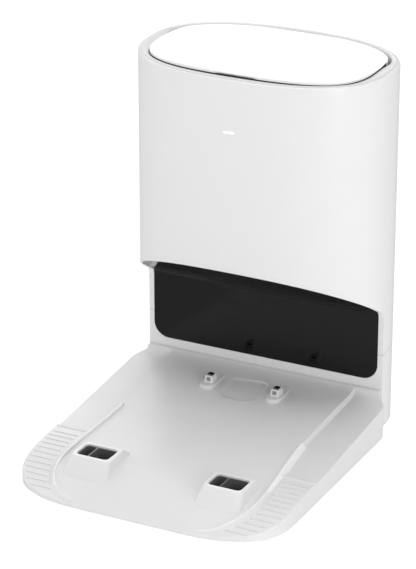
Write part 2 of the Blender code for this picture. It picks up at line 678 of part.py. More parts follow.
left_out = [(-0.0995, -0.1500), (-0.0545, -0.1500), (-0.0545, -0.1050), (-0.0900, 0.0400),
            (-0.0900, 0.1174), (-0.1240, 0.1174), (-0.1240, 0.0400), (-0.0995, -0.1050)]
left_in = [(-0.0980, -0.1485), (-0.0560, -0.1485), (-0.0560, -0.1050), (-0.0915, 0.0400),
           (-0.0915, 0.1300), (-0.1225, 0.1300), (-0.1225, 0.0400), (-0.0980, -0.1050)]
duct_left = duct("duct_left", left_out, left_in)
cut(duct_left, tool_box("tool_duct_side", (-0.0930, 0.0535, DUCT_LOW + SKIN), (-0.080, 0.0815,
                                                                               DUCT_HIGH - SKIN)))
right_out = [(0.0545, -0.1500), (0.0995, -0.1500), (0.0995, -0.1050), (0.0600, 0.0850),
             (-0.0897, 0.0850), (-0.0897, 0.0500), (0.0350, 0.0500), (0.0545, -0.0500)]
right_in = [(0.0560, -0.1485), (0.0980, -0.1485), (0.0980, -0.1050), (0.0588, 0.0835),
            (-0.0990, 0.0835), (-0.0990, 0.0515), (0.0362, 0.0515), (0.0560, -0.0500)]
duct_right = duct("duct_right", right_out, right_in)
for sign, body in ((-1, duct_left), (1, duct_right)):
    mouth = rounded(sign * VENT_X, VENT_Y, VENT_W / 2 - 0.0014, VENT_D / 2 - 0.0014, [0.003] * 4, 3)
    cut(body, prism("tool_mouth_%d" % sign, mouth, 0.0100, 0.0300, cutters))

riser = box("duct_riser", (-0.1240, 0.1180, DUCT_LOW), (-0.0900, 0.1520, 0.3480), mat=dark)
cut(riser, rod("tool_port_stub", 0.0222, 0.0060, (-0.0910, PORT_Y, PORT_Z), "X", 32, cutters), "UNION")
RISER_IN = ((-0.1225, 0.1195, DUCT_LOW + SKIN), (-0.0915, 0.1505, 0.3465))
cut(riser, tool_box("tool_riser_bore", RISER_IN[0], RISER_IN[1]))
cut(riser, rod("tool_port_bore", PORT_R - 0.0035, 0.030, (-0.0900, PORT_Y, PORT_Z), "X", 32, cutters))
cut(riser, tool_box("tool_riser_mouth", (-0.1225, 0.110, DUCT_LOW + SKIN), (-0.0915, 0.125,
                                                                            DUCT_HIGH - SKIN)))

# ---------------------------------------------------------------- charging contacts
for sign, side in ((-1, "left"), (1, "right")):
    x = sign * CONTACT_X
    post = box("contact_" + side, (-0.0028, -0.0035, -0.0150), (0.0028, 0.0035, 0.0), mat=copper)
    post.location = (x, CONTACT_Y, CONTACT_TOP_Z)
    mod = post.modifiers.new("edge", "BEVEL")
    mod.width = 0.0003
    mod.segments = 1
    mod.limit_method = "ANGLE"
    cut(post, tool_box("tool_flange_" + side, (x - 0.0044, CONTACT_Y - 0.0051, 0.0352),
                       (x + 0.0044, CONTACT_Y + 0.0051, 0.0364)), "UNION")
    turns = 4
    per = 10
    coil = bpy.data.curves.new("contact_spring_" + side, "CURVE")
    coil.dimensions = "3D"
    coil.bevel_depth = 0.00032
    coil.bevel_resolution = 1
    coil.use_fill_caps = True
    line = coil.splines.new("POLY")
    line.points.add(turns * per)
    for k in range(turns * per + 1):
        a = 2 * math.pi * k / per
        z = 0.0264 + (0.0345 - 0.0264) * k / (turns * per)
        line.points[k].co = (x + 0.0022 * math.cos(a), CONTACT_Y + 0.0022 * math.sin(a), z, 1.0)
    spring = bpy.data.objects.new("contact_spring_" + side, coil)
    coil.materials.append(steel)
    dock.objects.link(spring)
box("contact_board", (-0.0550, 0.0480, 0.0243), (0.0550, 0.0700, 0.0258), mat=board)

# ---------------------------------------------------------------- bag bay and its contents
BAY_Z = 0.2060
bay = prism("bag_bay", oval(0.0029), 0.3885, 0.3910, mat=grey)
bay_block = tool_box("tool_bay_block", (-0.0840, 0.0000, BAY_Z), (0.1300, 0.230, 0.3890))
cut(bay_block, tool_oval("tool_bay_plan", 0.0225, 0.10, 0.45), "INTERSECT")
bay_inner = tool_box("tool_bay_inner", (-0.0820, 0.0000, BAY_Z + 0.002), (0.1300, 0.230, 0.4200))
cut(bay_inner, tool_oval("tool_bay_inner_plan", 0.0245, 0.10, 0.45), "INTERSECT")
cut(bay, bay_block, "UNION")
cut(bay, bay_inner)
cut(bay, rod("tool_bay_port", 0.0232, 0.02, (-0.0830, PORT_Y, PORT_Z), "X", 32, cutters))
cut(bay, rod("tool_bay_floor", 0.0275, 0.02, (FAN_X, FAN_Y, BAY_Z), "Z", 32, cutters))

seal = rod("port_seal", 0.0228, 0.0076, (-0.0836, PORT_Y, PORT_Z), "X", 32, mat=rubber)
cut(seal, rod("tool_seal_bore", PORT_R, 0.03, (-0.0836, PORT_Y, PORT_Z), "X", 32, cutters))

holder = box("collar_holder", (-0.0817, 0.1030, 0.2500), (-0.0735, 0.1670, 0.3550), mat=white)
cut(holder, tool_box("tool_holder_slot", (-0.0900, 0.1050, 0.2530), (-0.0752, 0.1650, 0.3700)))
cut(holder, tool_box("tool_holder_face", (-0.0900, 0.1080, 0.2560), (-0.0600, 0.1620, 0.3700)))

collar = box("bag_collar", (-0.0795, 0.1054, 0.2534), (-0.0765, 0.1646, 0.3700), mat=collar_blue)
cut(collar, rod("tool_collar_hole", PORT_R - 0.001, 0.02, (-0.0780, PORT_Y, PORT_Z), "X", 32, cutters))
grip = rounded(-0.0780, PORT_Y, 0.010, 0.015, [0.002] * 4, 2)
cut(collar, prism("tool_collar_grip", grip, 0.3560, 0.3640, cutters))


def pillow(name, shrink, coll=None, mat=None):
    """Soft sided box: a cube with two loop cuts each way, smoothed once."""
    bm = bmesh.new()
    bmesh.ops.create_cube(bm, size=1.0)
    bmesh.ops.subdivide_edges(bm, edges=bm.edges[:], cuts=2, use_grid_fill=True)
    size = (0.150 - 2 * shrink, 0.110 - 2 * shrink, 0.168 - 2 * shrink)
    bmesh.ops.scale(bm, vec=Vector(size), verts=bm.verts)
    bmesh.ops.translate(bm, vec=Vector((0.0050, 0.1125, 0.2925)), verts=bm.verts)
    obj = add_mesh(name, bm, coll, mat)
    soft = obj.modifiers.new("soft", "SUBSURF")
    soft.levels = 1
    soft.render_levels = 1
    return obj


bag = pillow("dust_bag", 0.0, None, paper)
cut(bag, rod("tool_bag_neck", PORT_R, 0.0120, (-0.0702, PORT_Y, PORT_Z), "X", 32, cutters), "UNION")
cut(bag, pillow("tool_bag_inside", 0.0016, cutters))
cut(bag, rod("tool_bag_throat", PORT_R - 0.0015, 0.0200, (-0.0700, PORT_Y, PORT_Z), "X", 32, cutters))

# ---------------------------------------------------------------- filter, fan and motor
rod("motor_prefilter", 0.0272, 0.0043, (FAN_X, FAN_Y, 0.20565), sides=32, mat=foam)
cup = rod("motor_housing", 0.0385, 0.0860, (FAN_X, FAN_Y, 0.1440), sides=36, mat=grey)
for k, (lx, ly) in enumerate(((-0.028, -0.022), (0.028, -0.022), (0.028, 0.022), (-0.028, 0.022))):
    leg = rod("tool_leg_%d" % k, 0.0040, 0.0980, (FAN_X + lx, FAN_Y + ly, 0.0537), sides=12, coll=cutters)
    cut(cup, leg, "UNION")
cut(cup, rod("tool_cup_bore", 0.0362, 0.0860, (FAN_X, FAN_Y, 0.1465), sides=36, coll=cutters))
cut(cup, tool_box("tool_cup_exhaust", (FAN_X - 0.022, FAN_Y + 0.010, 0.1220), (FAN_X + 0.022, 0.1990,
                                                                               0.1620)))
cap = rod("motor_cap", 0.0385, 0.0100, (FAN_X, FAN_Y, 0.1923), sides=36, mat=grey)
cut(cap, rod("tool_cap_spigot", 0.0300, 0.0100, (FAN_X, FAN_Y, 0.2007), sides=32, coll=cutters), "UNION")
cut(cap, rod("tool_cap_inlet", 0.0200, 0.05, (FAN_X, FAN_Y, 0.1920), sides=24, coll=cutters))
cut(cap, rod("tool_cap_seat", 0.0276, 0.0100, (FAN_X, FAN_Y, 0.2082), sides=32, coll=cutters))
cut(cap, rod("tool_cap_hollow", 0.0350, 0.0080, (FAN_X, FAN_Y, 0.1903), sides=36, coll=cutters))
motor = rod("fan_motor", 0.0240, 0.0420, (FAN_X, FAN_Y, 0.1250), sides=24, mat=steel)
cut(motor, rod("tool_motor_bore", 0.0023, 0.060, (FAN_X, FAN_Y, 0.1460), sides=16, coll=cutters))
mount = rod("motor_mount", 0.0358, 0.0050, (FAN_X, FAN_Y, 0.1064), sides=32, mat=rubber)
cut(mount, rod("tool_mount_bore", 0.0243, 0.02, (FAN_X, FAN_Y, 0.1110), sides=24, coll=cutters))
shaft = rod("fan_shaft", 0.0020, 0.0480, (0.0, 0.0, -0.0060), sides=16, mat=steel)
shaft.location = (FAN_X, FAN_Y, 0.1720)
wheel = rod("fan_impeller", 0.0320, 0.0020, (0.0, 0.0, -0.0110), sides=36, mat=grey)
wheel.location = (FAN_X, FAN_Y, 0.1720)
blades = bmesh.new()
for k in range(9):
    angle = 2 * math.pi * k / 9
    piece = box_bm((0.0085, -0.0006, -0.0112), (0.0310, 0.0006, 0.0020))
    bmesh.ops.rotate(piece, verts=piece.verts, cent=(0.0085, 0, 0), matrix=Matrix.Rotation(-0.42, 3, "Z"))
    bmesh.ops.rotate(piece, verts=piece.verts, matrix=Matrix.Rotation(angle, 3, "Z"))
    temp = bpy.data.meshes.new("blade")
    piece.to_mesh(temp)
    piece.free()
    blades.from_mesh(temp)
    bpy.data.meshes.remove(temp)
blade_tool = add_mesh("tool_blades", blades, cutters)
blade_tool.location = (FAN_X, FAN_Y, 0.1720)
hub = rod("tool_hub", 0.0090, 0.0150, (FAN_X, FAN_Y, 0.1670), sides=24, coll=cutters)
cut(wheel, hub, "UNION")
cut(wheel, blade_tool, "UNION")
cut(wheel, rod("tool_wheel_bore", 0.0023, 0.05, (FAN_X, FAN_Y, 0.1700), sides=16, coll=cutters))

# ---------------------------------------------------------------- electrics
box("control_board", (-0.0780, 0.1800, 0.0600), (-0.0100, 0.1816, 0.1500), mat=board)
box("power_board", (-0.0800, 0.1220, 0.0180), (-0.0020, 0.1760, 0.0196), mat=board)
box("transformer", (-0.0450, 0.1300, 0.0200), (-0.0080, 0.1620, 0.0480), mat=dark, bevel=0.001)
rod("mains_capacitor", 0.0090, 0.0260, (-0.0620, 0.1480, 0.0330), sides=20, mat=dark)
inlet = box("power_inlet", (0.0390, 0.1720, 0.0250), (0.0610, 0.1998, 0.0470), mat=black)
cavity = rounded(0.0500, 0.0360, 0.0080, 0.0042, [0.0040] * 4, 3)
cavity_bm = prism_bm(cavity, -0.2200, -0.1840)
bmesh.ops.rotate(cavity_bm, verts=cavity_bm.verts, matrix=Matrix.Rotation(math.pi / 2, 3, "X"))
cut(inlet, add_mesh("tool_inlet_cavity", cavity_bm, cutters))
for k, px in enumerate((0.0454, 0.0546)):
    pin = rod("tool_inlet_pin_%d" % k, 0.0011, 0.0150, (px, 0.1895, 0.0360), "Y", 12, cutters)
    cut(inlet, pin, "UNION")

# ---------------------------------------------------------------- lid and hinge
lid_rings = [(LID_INSET + 0.0006, 0.3985), (LID_INSET, 0.3992), (LID_INSET, LID_TOP_Z - 0.0024)]
for k in range(1, 5):
    t = math.pi / 2 * k / 4
    lid_rings.append((LID_INSET + 0.0024 * (1 - math.cos(t)), LID_TOP_Z - 0.0024 * (1 - math.sin(t))))
lid = stack("lid", lid_rings, mat=white_gloss)
cut(lid, tool_oval("tool_lid_hollow", LID_INSET + 0.0026, 0.39, LID_TOP_Z - 0.0028))
notch = prism("tool_lid_notch", rounded(0.0, TOWER_Y - TOWER_HALF_D + LID_INSET - 0.004, 0.023, 0.0058,
                                        [0.001, 0.004, 0.004, 0.001], 3), 0.38, LID_TOP_Z - 0.0018, cutters)
cut(lid, notch)

liner = stack("lid_liner", [(LID_INSET + 0.0030, 0.3990), (LID_INSET + 0.0030, 0.4010)], mat=white)
cut(liner, tool_oval("tool_liner_rib_out", 0.0210, 0.3958, 0.4000), "UNION")
cut(liner, tool_oval("tool_liner_rib_in", 0.0230, 0.3900, 0.3990))
lid_seal = stack("lid_seal", [(0.0195, 0.3915), (0.0195, 0.3955)], mat=rubber)
cut(lid_seal, tool_oval("tool_seal_in", 0.0240, 0.38, 0.41))

for sign, side in ((-1, "left"), (1, "right")):
    x = sign * HINGE_X
    for off in (-0.0056, 0.0056):
        boss = tool_box("tool_lid_boss_%s_%d" % (side, off > 0), (x + off - 0.0016, HINGE_Y - 0.0021, 0.4026),
                        (x + off + 0.0016, HINGE_Y + 0.0021, 0.4076))
        cut(lid, boss, "UNION")
    cut(lid, rod("tool_lid_bore_" + side, PIN_R + GAP, 0.0180, (x, HINGE_Y, HINGE_Z), "X", 16, cutters))
    cut(lid, tool_box("tool_lid_gate_" + side, (x - 0.0036, HINGE_Y - 0.0026, 0.39),
                      (x + 0.0036, 0.2200, HINGE_Z + 0.0024)))
    cut(liner, tool_box("tool_liner_gate_" + side, (x - 0.0036, HINGE_Y - 0.0040, 0.39), (x + 0.0036,
                                                                                          0.22, 0.41)))
    bracket = box("hinge_bracket_" + side, (x - 0.0030, HINGE_Y - 0.0018, 0.3913),
                  (x + 0.0030, HINGE_Y + 0.0060, 0.3935), mat=steel)
    cut(bracket, tool_box("tool_stem_" + side, (x - 0.0030, HINGE_Y - 0.0018, 0.3920),
                          (x + 0.0030, HINGE_Y + 0.0018, HINGE_Z)), "UNION")
    cut(bracket, rod("tool_eye_" + side, 0.0020, 0.0060, (x, HINGE_Y, HINGE_Z), "X", 20, cutters), "UNION")
    cut(bracket, rod("tool_eye_bore_" + side, PIN_R + GAP, 0.02, (x, HINGE_Y, HINGE_Z), "X", 16, cutters))
    pin = rod("hinge_pin_" + side, PIN_R, 0.0144, (0, 0, 0), "X", 14, mat=steel)
    pin.location = (x, HINGE_Y, HINGE_Z)
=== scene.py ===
"""Looks of the self-emptying base station: smooth shells, tray, panel, lid and dust bag."""

import math

import bmesh
import bpy
from mathutils import Matrix
from mathutils import Vector
from mathutils import noise


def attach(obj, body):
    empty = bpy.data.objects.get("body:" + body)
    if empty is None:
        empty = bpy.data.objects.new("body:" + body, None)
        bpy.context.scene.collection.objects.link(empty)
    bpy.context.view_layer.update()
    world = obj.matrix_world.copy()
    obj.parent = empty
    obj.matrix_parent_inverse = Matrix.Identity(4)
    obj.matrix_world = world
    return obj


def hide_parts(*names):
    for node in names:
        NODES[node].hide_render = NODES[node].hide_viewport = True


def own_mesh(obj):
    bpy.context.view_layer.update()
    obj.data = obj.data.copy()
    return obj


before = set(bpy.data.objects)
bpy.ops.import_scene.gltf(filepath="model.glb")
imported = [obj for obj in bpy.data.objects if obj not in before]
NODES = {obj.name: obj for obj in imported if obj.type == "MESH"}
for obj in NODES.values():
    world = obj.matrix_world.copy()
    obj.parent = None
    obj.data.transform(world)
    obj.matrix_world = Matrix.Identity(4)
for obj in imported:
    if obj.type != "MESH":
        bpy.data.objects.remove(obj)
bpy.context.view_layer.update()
SCENE = bpy.context.scene

# ---------------------------------------------------------------- the CAD's own dimensions
HALF_W = 0.1425
HALF_D = 0.0933
MID_Y = 0.1125
POWER = 2.4
CREST_Z = 0.4096
CREST_R = 0.0054
SPLIT_Z = 0.0890
RECESS_Y = 0.1080
RECESS_TOP = 0.1380
SLOPE = 0.608
FILLET = 0.007
PANEL_W = 0.1364
PANEL_Z = 0.0577
PANEL_R = 0.018
WALL = 0.0025
FIT = 0.0003

TRAY_W = 0.1535
FRONT_Y = -0.2058
REAR_Y = 0.1077
COR_A = 0.100
COR_B = 0.075
COR_P = 2.6
LIFT = 0.0015

VENT_X = 0.0770
VENT_Y = -0.1322
VENT_W = 0.0375
VENT_D = 0.0255
HOOD_Z = 0.0302
CONTACT_X = 0.0400
CONTACT_Y = 0.0582

COVER_X = 0.105
COVER_LOW_Z = 0.075
COVER_TOP_Z = 0.372
GRILLE = (0.0085, 0.0715, 0.118, 0.166)
SOCKET = (0.0385, 0.0615, 0.0245, 0.0475)
WELL_FLOOR_Z = 0.3946
SLOT_XS = (-0.0178, 0.0607)
SLOT_Z = 0.0700
RAMP_END = -0.0846
TRACK_START = -0.0835

# ---------------------------------------------------------------- set for the photo, and not the CAD's
CREST_FALL = 0.0016
CREST_TILT = 0.0029
LID_X = 0.1266
LID_Y = 0.0800
LID_P = 2.9
LID_GAP = 0.0009
LID_TOP = 0.4094
LID_R = 0.0015
REAR_IN = 0.0116
REAR_WELL_IN = 0.0089
WELL_STEP_Z = 0.4030
NOTCH_DEPTH = 0.0017
NOTCH_IN_X = 0.0205
NOTCH_OUT_X = 0.0232
GAP_SHADE_END_Y = 0.140
RAIL_RISE = 0.0029
POCKET_DEPTH = 0.0011
SLOT_HALF_W = 0.0026
SLOT_HALF_H = 0.0010

PLATFORM_LINE = [(-0.2058, 0.0045), (-0.196, 0.0068), (-0.185, 0.0098), (-0.165, 0.0145),
                 (-0.145, 0.0183), (-0.125, 0.0208), (-0.084, 0.0250), (-0.018, 0.0315),
                 (0.060, 0.0400), (0.0940, 0.0438), (0.0985, 0.0450), (0.1020, 0.0464), (0.1040, 0.0478),
                 (0.1078, 0.0478)]
# of the three height lines, only the ramp's is the CAD's
RAMP_LINE = [(-0.2058, 0.0045), (-0.196, 0.0062), (-0.185, 0.0087), (-0.165, 0.0135),
             (-0.145, 0.0181), (-0.125, 0.0216), (-0.105, 0.0237), (-0.084, 0.0248)]
TRACK_LINE = [(TRACK_START, 0.0222), (0.0, 0.02965), (0.078, 0.0366), (0.092, 0.0384), (0.0975, 0.0402),
              (0.1010, 0.0428), (0.1030, 0.0462), (0.1040, 0.0478), (0.1078, 0.0478)]
# the rail's path, the platform's side and the ribs' places are the CAD's too
RAIL_PATH = [(0.1070, -0.0187), (0.1080, -0.040), (0.1105, -0.072), (0.1135, -0.105),
             (0.1145, -0.134), (0.1125, -0.155), (0.1070, -0.171), (0.0980, -0.184),
             (0.0860, -0.1925), (0.0700, -0.1975)]
RAIL_START = RAIL_PATH[0][1]
PLATFORM_MID_X = RAIL_PATH[0][0]
PLATFORM_REAR_X = 0.1123
REAR_CORNER_Y = 0.0835
REAR_CORNER_R = 0.020
REAR_CORNER_TURN = math.radians(62)
RIB_PITCH = 0.0083
RIBS = [-0.0975 - RIB_PITCH * k for k in range(12)]


# ---------------------------------------------------------------- curves
def pchip(line):
    """Monotone cubic through (position, height) points."""
    xs = [p[0] for p in line]
    ys = [p[1] for p in line]
    n = len(xs)
    d = [(ys[i + 1] - ys[i]) / (xs[i + 1] - xs[i]) for i in range(n - 1)]
    m = [d[0]] + [0.0] * (n - 2) + [d[-1]]
    for i in range(1, n - 1):
        if d[i - 1] * d[i] > 0:
            h0 = xs[i] - xs[i - 1]
            h1 = xs[i + 1] - xs[i]
            m[i] = (h0 + h1) * 3 / ((2 * h1 + h0) / d[i - 1] + (h1 + 2 * h0) / d[i])

    def at(x):
        if x <= xs[0]:
            return ys[0]
        if x >= xs[-1]:
            return ys[-1]
        i = next(k for k in range(n - 1) if x <= xs[k + 1])
        h = xs[i + 1] - xs[i]
        t = (x - xs[i]) / h
        return ((2 * t ** 3 - 3 * t ** 2 + 1) * ys[i] + (t ** 3 - 2 * t ** 2 + t) * h * m[i]
                + (3 * t ** 2 - 2 * t ** 3) * ys[i + 1] + (t ** 3 - t ** 2) * h * m[i + 1])
    return at


plat_z = pchip(PLATFORM_LINE)
ramp_z = pchip(RAMP_LINE)
track_z = pchip(TRACK_LINE)
rail_at = pchip(sorted([(y, x) for x, y in RAIL_PATH]))


def step(a, b, x):
    t = min(max((x - a) / (b - a), 0.0), 1.0)
    return t * t * (3 - 2 * t)


def oval_at(a, inset=0.0):
    c = math.cos(a)
    s = math.sin(a)
    x = HALF_W * math.copysign(abs(c) ** (2 / POWER), c)
    y = HALF_D * math.copysign(abs(s) ** (2 / POWER), s)
    nx = math.copysign(abs(x / HALF_W) ** (POWER - 1), c) / HALF_W
    ny = math.copysign(abs(y / HALF_D) ** (POWER - 1), s) / HALF_D
    size = math.hypot(nx, ny)
    return x - inset * nx / size, MID_Y + y - inset * ny / size


def lid_in(a):
    """How far inside the tower's wall the lid's own, squarer outline lies."""
    low = 0.0
    high = 0.03
    for _ in range(22):
        mid = (low + high) / 2
        x, y = oval_at(a, mid)
        if abs(x / LID_X) ** LID_P + abs((y - MID_Y) / LID_Y) ** LID_P > 1:
            low = mid
        else:
            high = mid
    y = oval_at(a)[1]
    return max(low, REAR_IN * step(MID_Y, MID_Y + 0.030, y))


def crest_at(y):
    """Height of the rim, which falls a little towards the front."""
    return CREST_Z - CREST_TILT * (1 - step(MID_Y - HALF_D + 0.010, MID_Y + 0.040, y))


def angle_y(y):
    """Oval angle on the +X side where the wall has this y."""
    v = (y - MID_Y) / HALF_D
    return math.copysign(math.asin(min(abs(v), 1.0) ** (POWER / 2)), v)


def angle_x(x):
    """Oval angle on the rear side where the wall has this x."""
    v = x / HALF_W
    return math.acos(math.copysign(abs(v) ** (POWER / 2), v))


def spread(stops, count):
    """Angles from the first stop to the last, through every stop, evenly filled."""
    total = abs(stops[-1] - stops[0])
    out = [stops[0]]
    for a, b in zip(stops, stops[1:]):
        n = max(1, round(count * abs(b - a) / total))
        out += [a + (b - a) * k / n for k in range(1, n + 1)]
    return out


def ceiling(y, grow=0.0):
    """Height of the bay's sloped ceiling, fillet included, pushed up by grow."""
    lean = math.atan(SLOPE)
    turn = math.pi / 2 - lean
    back = FILLET * math.tan(turn / 2)
    cy = RECESS_Y - FILLET
    cz = RECESS_TOP - back
    r = FILLET + grow
    if y > cy + r * math.cos(turn):
        v = min((y - cy) / r, 1.0)
        return cz + r * math.sqrt(max(1 - v * v, 0.0))
    top = RECESS_TOP + grow * (1 / math.cos(lean) + SLOPE)
    return top + (RECESS_Y + grow - y) * SLOPE


# ---------------------------------------------------------------- mesh building
class Mesh:
    def __init__(self):
        self.verts = []
        self.faces = []

    def grid(self, rows, closed=False, keep=None):
        base = len(self.verts)
        wide = len(rows[0])
        for row in rows:
            self.verts += [tuple(p) for p in row]
        span = wide if closed else wide - 1
        for i in range(len(rows) - 1):
            for j in range(span):
                if keep and not keep(i, j):
                    continue
                n = (j + 1) % wide
                a = base + i * wide
                self.faces.append((a + j, a + n, a + wide + n, a + wide + j))
        return self

    def face(self, pts):
        base = len(self.verts)
        self.verts += [tuple(p) for p in pts]
        self.faces.append(tuple(range(base, base + len(pts))))
        return self

    def build(self, name, mat, body="base", sharp=32, weld=2e-5, close=False):
        mesh = bpy.data.meshes.new(name)
        mesh.from_pydata(self.verts, [], self.faces)
        bm = bmesh.new()
        bm.from_mesh(mesh)
        bmesh.ops.remove_doubles(bm, verts=bm.verts, dist=weld)
        bmesh.ops.dissolve_degenerate(bm, dist=1e-6, edges=bm.edges)
        bmesh.ops.delete(bm, geom=[v for v in bm.verts if not v.link_faces], context="VERTS")
        bmesh.ops.recalc_face_normals(bm, faces=bm.faces)
        bm.to_mesh(mesh)
        bm.free()
        mesh.materials.append(mat)
        mesh.shade_smooth()
        mesh.set_sharp_from_angle(angle=math.radians(sharp))
        obj = bpy.data.objects.new(name, mesh)
        SCENE.collection.objects.link(obj)
        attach(obj, body)
        return obj


def rounded(cx, cy, half_x, half_y, radii, steps=6):
    """Rounded rectangle; radii run from the front right corner anticlockwise."""
    corners = [(1, -1), (1, 1), (-1, 1), (-1, -1)]
    start = [-90, 0, 90, 180]
    pts = []
    for (sx, sy), a0, r in zip(corners, start, radii):
        ox = cx + sx * (half_x - r)
        oy = cy + sy * (half_y - r)
        for k in range(steps + 1):
            a = math.radians(a0 + 90 * k / steps)
            pts.append((ox + r * math.cos(a), oy + r * math.sin(a)))
    return pts


def loft(mesh, outlines, cap_top=False, cap_bottom=False):
    mesh.grid([[Vector(p) for p in ring] for ring in outlines], closed=True)
    if cap_top:
        mesh.face(outlines[-1])
    if cap_bottom:
        mesh.face(outlines[0])
    return mesh


# ---------------------------------------------------------------- materials
def material(name, colour, rough, metal=0.0, tint=0.015, blotch=14.0, grain=1400.0, bump=0.05,
             depth=0.00004, rough_var=0.06, coat=0.0, brushed=False, emit=0.0, sheen=0.0, shine=0.5):
    """Moulded or coated surface: slight tone drift, roughness drift and a fine moulding grain."""
    mat = bpy.data.materials.new(name)
    mat.use_nodes = True
    tree = mat.node_tree
    shader = tree.nodes["Principled BSDF"]
    shader.inputs["Roughness"].default_value = rough
    shader.inputs["Metallic"].default_value = metal
    shader.inputs["Coat Weight"].default_value = coat
    shader.inputs["Coat Roughness"].default_value = 0.04
    shader.inputs["Sheen Weight"].default_value = sheen
    shader.inputs["Specular IOR Level"].default_value = shine
    if emit:
        shader.inputs["Emission Color"].default_value = (1.0, 1.0, 1.0, 1.0)
        shader.inputs["Emission Strength"].default_value = emit
    where = tree.nodes.new("ShaderNodeTexCoord")
    drift = tree.nodes.new("ShaderNodeTexNoise")
    drift.inputs["Scale"].default_value = blotch
    drift.inputs["Detail"].default_value = 3.0
    tree.links.new(where.outputs["Object"], drift.inputs["Vector"])
    ramp = tree.nodes.new("ShaderNodeValToRGB")
    lo = [max(c * (1 - tint), 0.0) for c in colour]
    hi = [min(c * (1 + tint), 1.0) for c in colour]
    ramp.color_ramp.elements[0].position = 0.35
    ramp.color_ramp.elements[1].position = 0.65
    ramp.color_ramp.elements[0].color = (*lo, 1.0)
    ramp.color_ramp.elements[1].color = (*hi, 1.0)
    tree.links.new(drift.outputs["Fac"], ramp.inputs["Fac"])
    tree.links.new(ramp.outputs["Color"], shader.inputs["Base Color"])
    rough_range = tree.nodes.new("ShaderNodeMapRange")
    rough_range.inputs["From Min"].default_value = 0.3
    rough_range.inputs["From Max"].default_value = 0.7
    rough_range.inputs["To Min"].default_value = max(rough - rough_var, 0.02)
    rough_range.inputs["To Max"].default_value = min(rough + rough_var, 1.0)
    patch = tree.nodes.new("ShaderNodeTexNoise")
    patch.inputs["Scale"].default_value = blotch * 2.7
    patch.inputs["Detail"].default_value = 4.0
    tree.links.new(where.outputs["Object"], patch.inputs["Vector"])
    tree.links.new(patch.outputs["Fac"], rough_range.inputs["Value"])
    tree.links.new(rough_range.outputs["Result"], shader.inputs["Roughness"])
    fine = tree.nodes.new("ShaderNodeTexNoise")
    fine.inputs["Scale"].default_value = grain
    fine.inputs["Detail"].default_value = 2.0
    if brushed:
        stretch = tree.nodes.new("ShaderNodeMapping")
        stretch.inputs["Scale"].default_value = (0.04, 1.0, 1.0)
        tree.links.new(where.outputs["Object"], stretch.inputs["Vector"])
        tree.links.new(stretch.outputs["Vector"], fine.inputs["Vector"])
    else:
        tree.links.new(where.outputs["Object"], fine.inputs["Vector"])
    relief = tree.nodes.new("ShaderNodeBump")
    relief.inputs["Strength"].default_value = bump
    relief.inputs["Distance"].default_value = depth
    tree.links.new(fine.outputs["Fac"], relief.inputs["Height"])
    tree.links.new(relief.outputs["Normal"], shader.inputs["Normal"])
    return mat


WHITE = material("shell_white", (0.805, 0.805, 0.805), 0.25, bump=0.02, rough_var=0.008, tint=0.004)
# A darker copy of the shell white: painted shade for the rim's top and inner slope round the lid.
RIM_SHADE = material("rim_painted_shade", (0.62, 0.62, 0.62), 0.40, bump=0.02, rough_var=0.01)
TRAY = material("tray_white", (0.755, 0.755, 0.755), 0.33, rough_var=0.03, bump=0.03)
# A brighter copy of the tray white: painted highlight for the rails' crests and the hoods' rims.
EDGE_HIGHLIGHT = material("edge_painted_highlight", (0.87, 0.87, 0.87), 0.28, rough_var=0.01, bump=0.02)
LID = material("lid_white", (0.95, 0.95, 0.95), 0.24, bump=0.006, tint=0.002, rough_var=0.02)
PANEL = material("panel_dark", (0.0065, 0.0065, 0.007), 0.10, bump=0.0, rough_var=0.02, tint=0.03, shine=0.27)
SLOT = material("slot_dark", (0.0008, 0.0008, 0.0008), 0.8, shine=0.0)
GREY = material("inner_grey", (0.30, 0.31, 0.32), 0.48)
DARK = material("duct_dark", (0.135, 0.135, 0.138), 0.36)
RUBBER = material("soft_rubber", (0.035, 0.035, 0.036), 0.82, grain=900.0, bump=0.25)
STEEL = material("plated_steel", (0.60, 0.60, 0.58), 0.28, metal=1.0, brushed=True, bump=0.12)
TIP = material("contact_metal", (0.30, 0.30, 0.29), 0.14, metal=1.0, brushed=True, bump=0.05)
PLATE = material("contact_plate", (0.33, 0.33, 0.34), 0.30, metal=0.6, brushed=True, bump=0.05)
BOARD = material("circuit_green", (0.025, 0.14, 0.06), 0.42, tint=0.12, blotch=90.0)
PAPER = material("bag_paper", (0.72, 0.69, 0.62), 0.88, tint=0.05, blotch=45.0, grain=700.0, bump=0.45,
                 depth=0.00015, sheen=0.15)
CARD = material("collar_card", (0.50, 0.56, 0.62), 0.72, tint=0.03, grain=600.0, bump=0.2)
FLEECE = material("filter_fleece", (0.70, 0.71, 0.73), 0.93, tint=0.06, blotch=120.0, grain=500.0, bump=0.6,
                  depth=0.0002, sheen=0.3)
LENS = material("light_lens", (0.95, 0.97, 1.0), 0.3, emit=1.2)

# each row: a material, the first words of the CAD nodes it goes on, and their whole names
LOOKS = [
    (STEEL, ("bottom_screw", "cover_screw", "hinge", "contact_spring"), ("fan_shaft", "fan_motor")),
    (RUBBER, ("rubber_foot",), ("lid_seal", "port_seal", "motor_mount")),
    (TIP, (), ("contact_left", "contact_right")),
    (BOARD, (), ("contact_board", "control_board", "ir_board", "light_board", "power_board")),
    (DARK, ("duct", "ir_emitter", "vent_frame"), ("transformer", "mains_capacitor", "power_inlet")),
    (GREY, (), ("bag_bay", "bottom_plate", "motor_housing", "motor_cap", "fan_impeller", "exhaust_grille")),
    (FLEECE, (), ("motor_prefilter", "exhaust_filter")),
    (CARD, (), ("bag_collar",)),
    (PAPER, (), ("dust_bag",)),
    (PANEL, (), ("signal_panel",)),
    (LENS, (), ("status_light",)),
    (LID, (), ("lid",)),
]


def look_of(name):
    """Material of a CAD node; the shells' white where no row names it."""
    for look, starts, names in LOOKS:
        if name.startswith(starts) or name in names:
            return look
    return WHITE


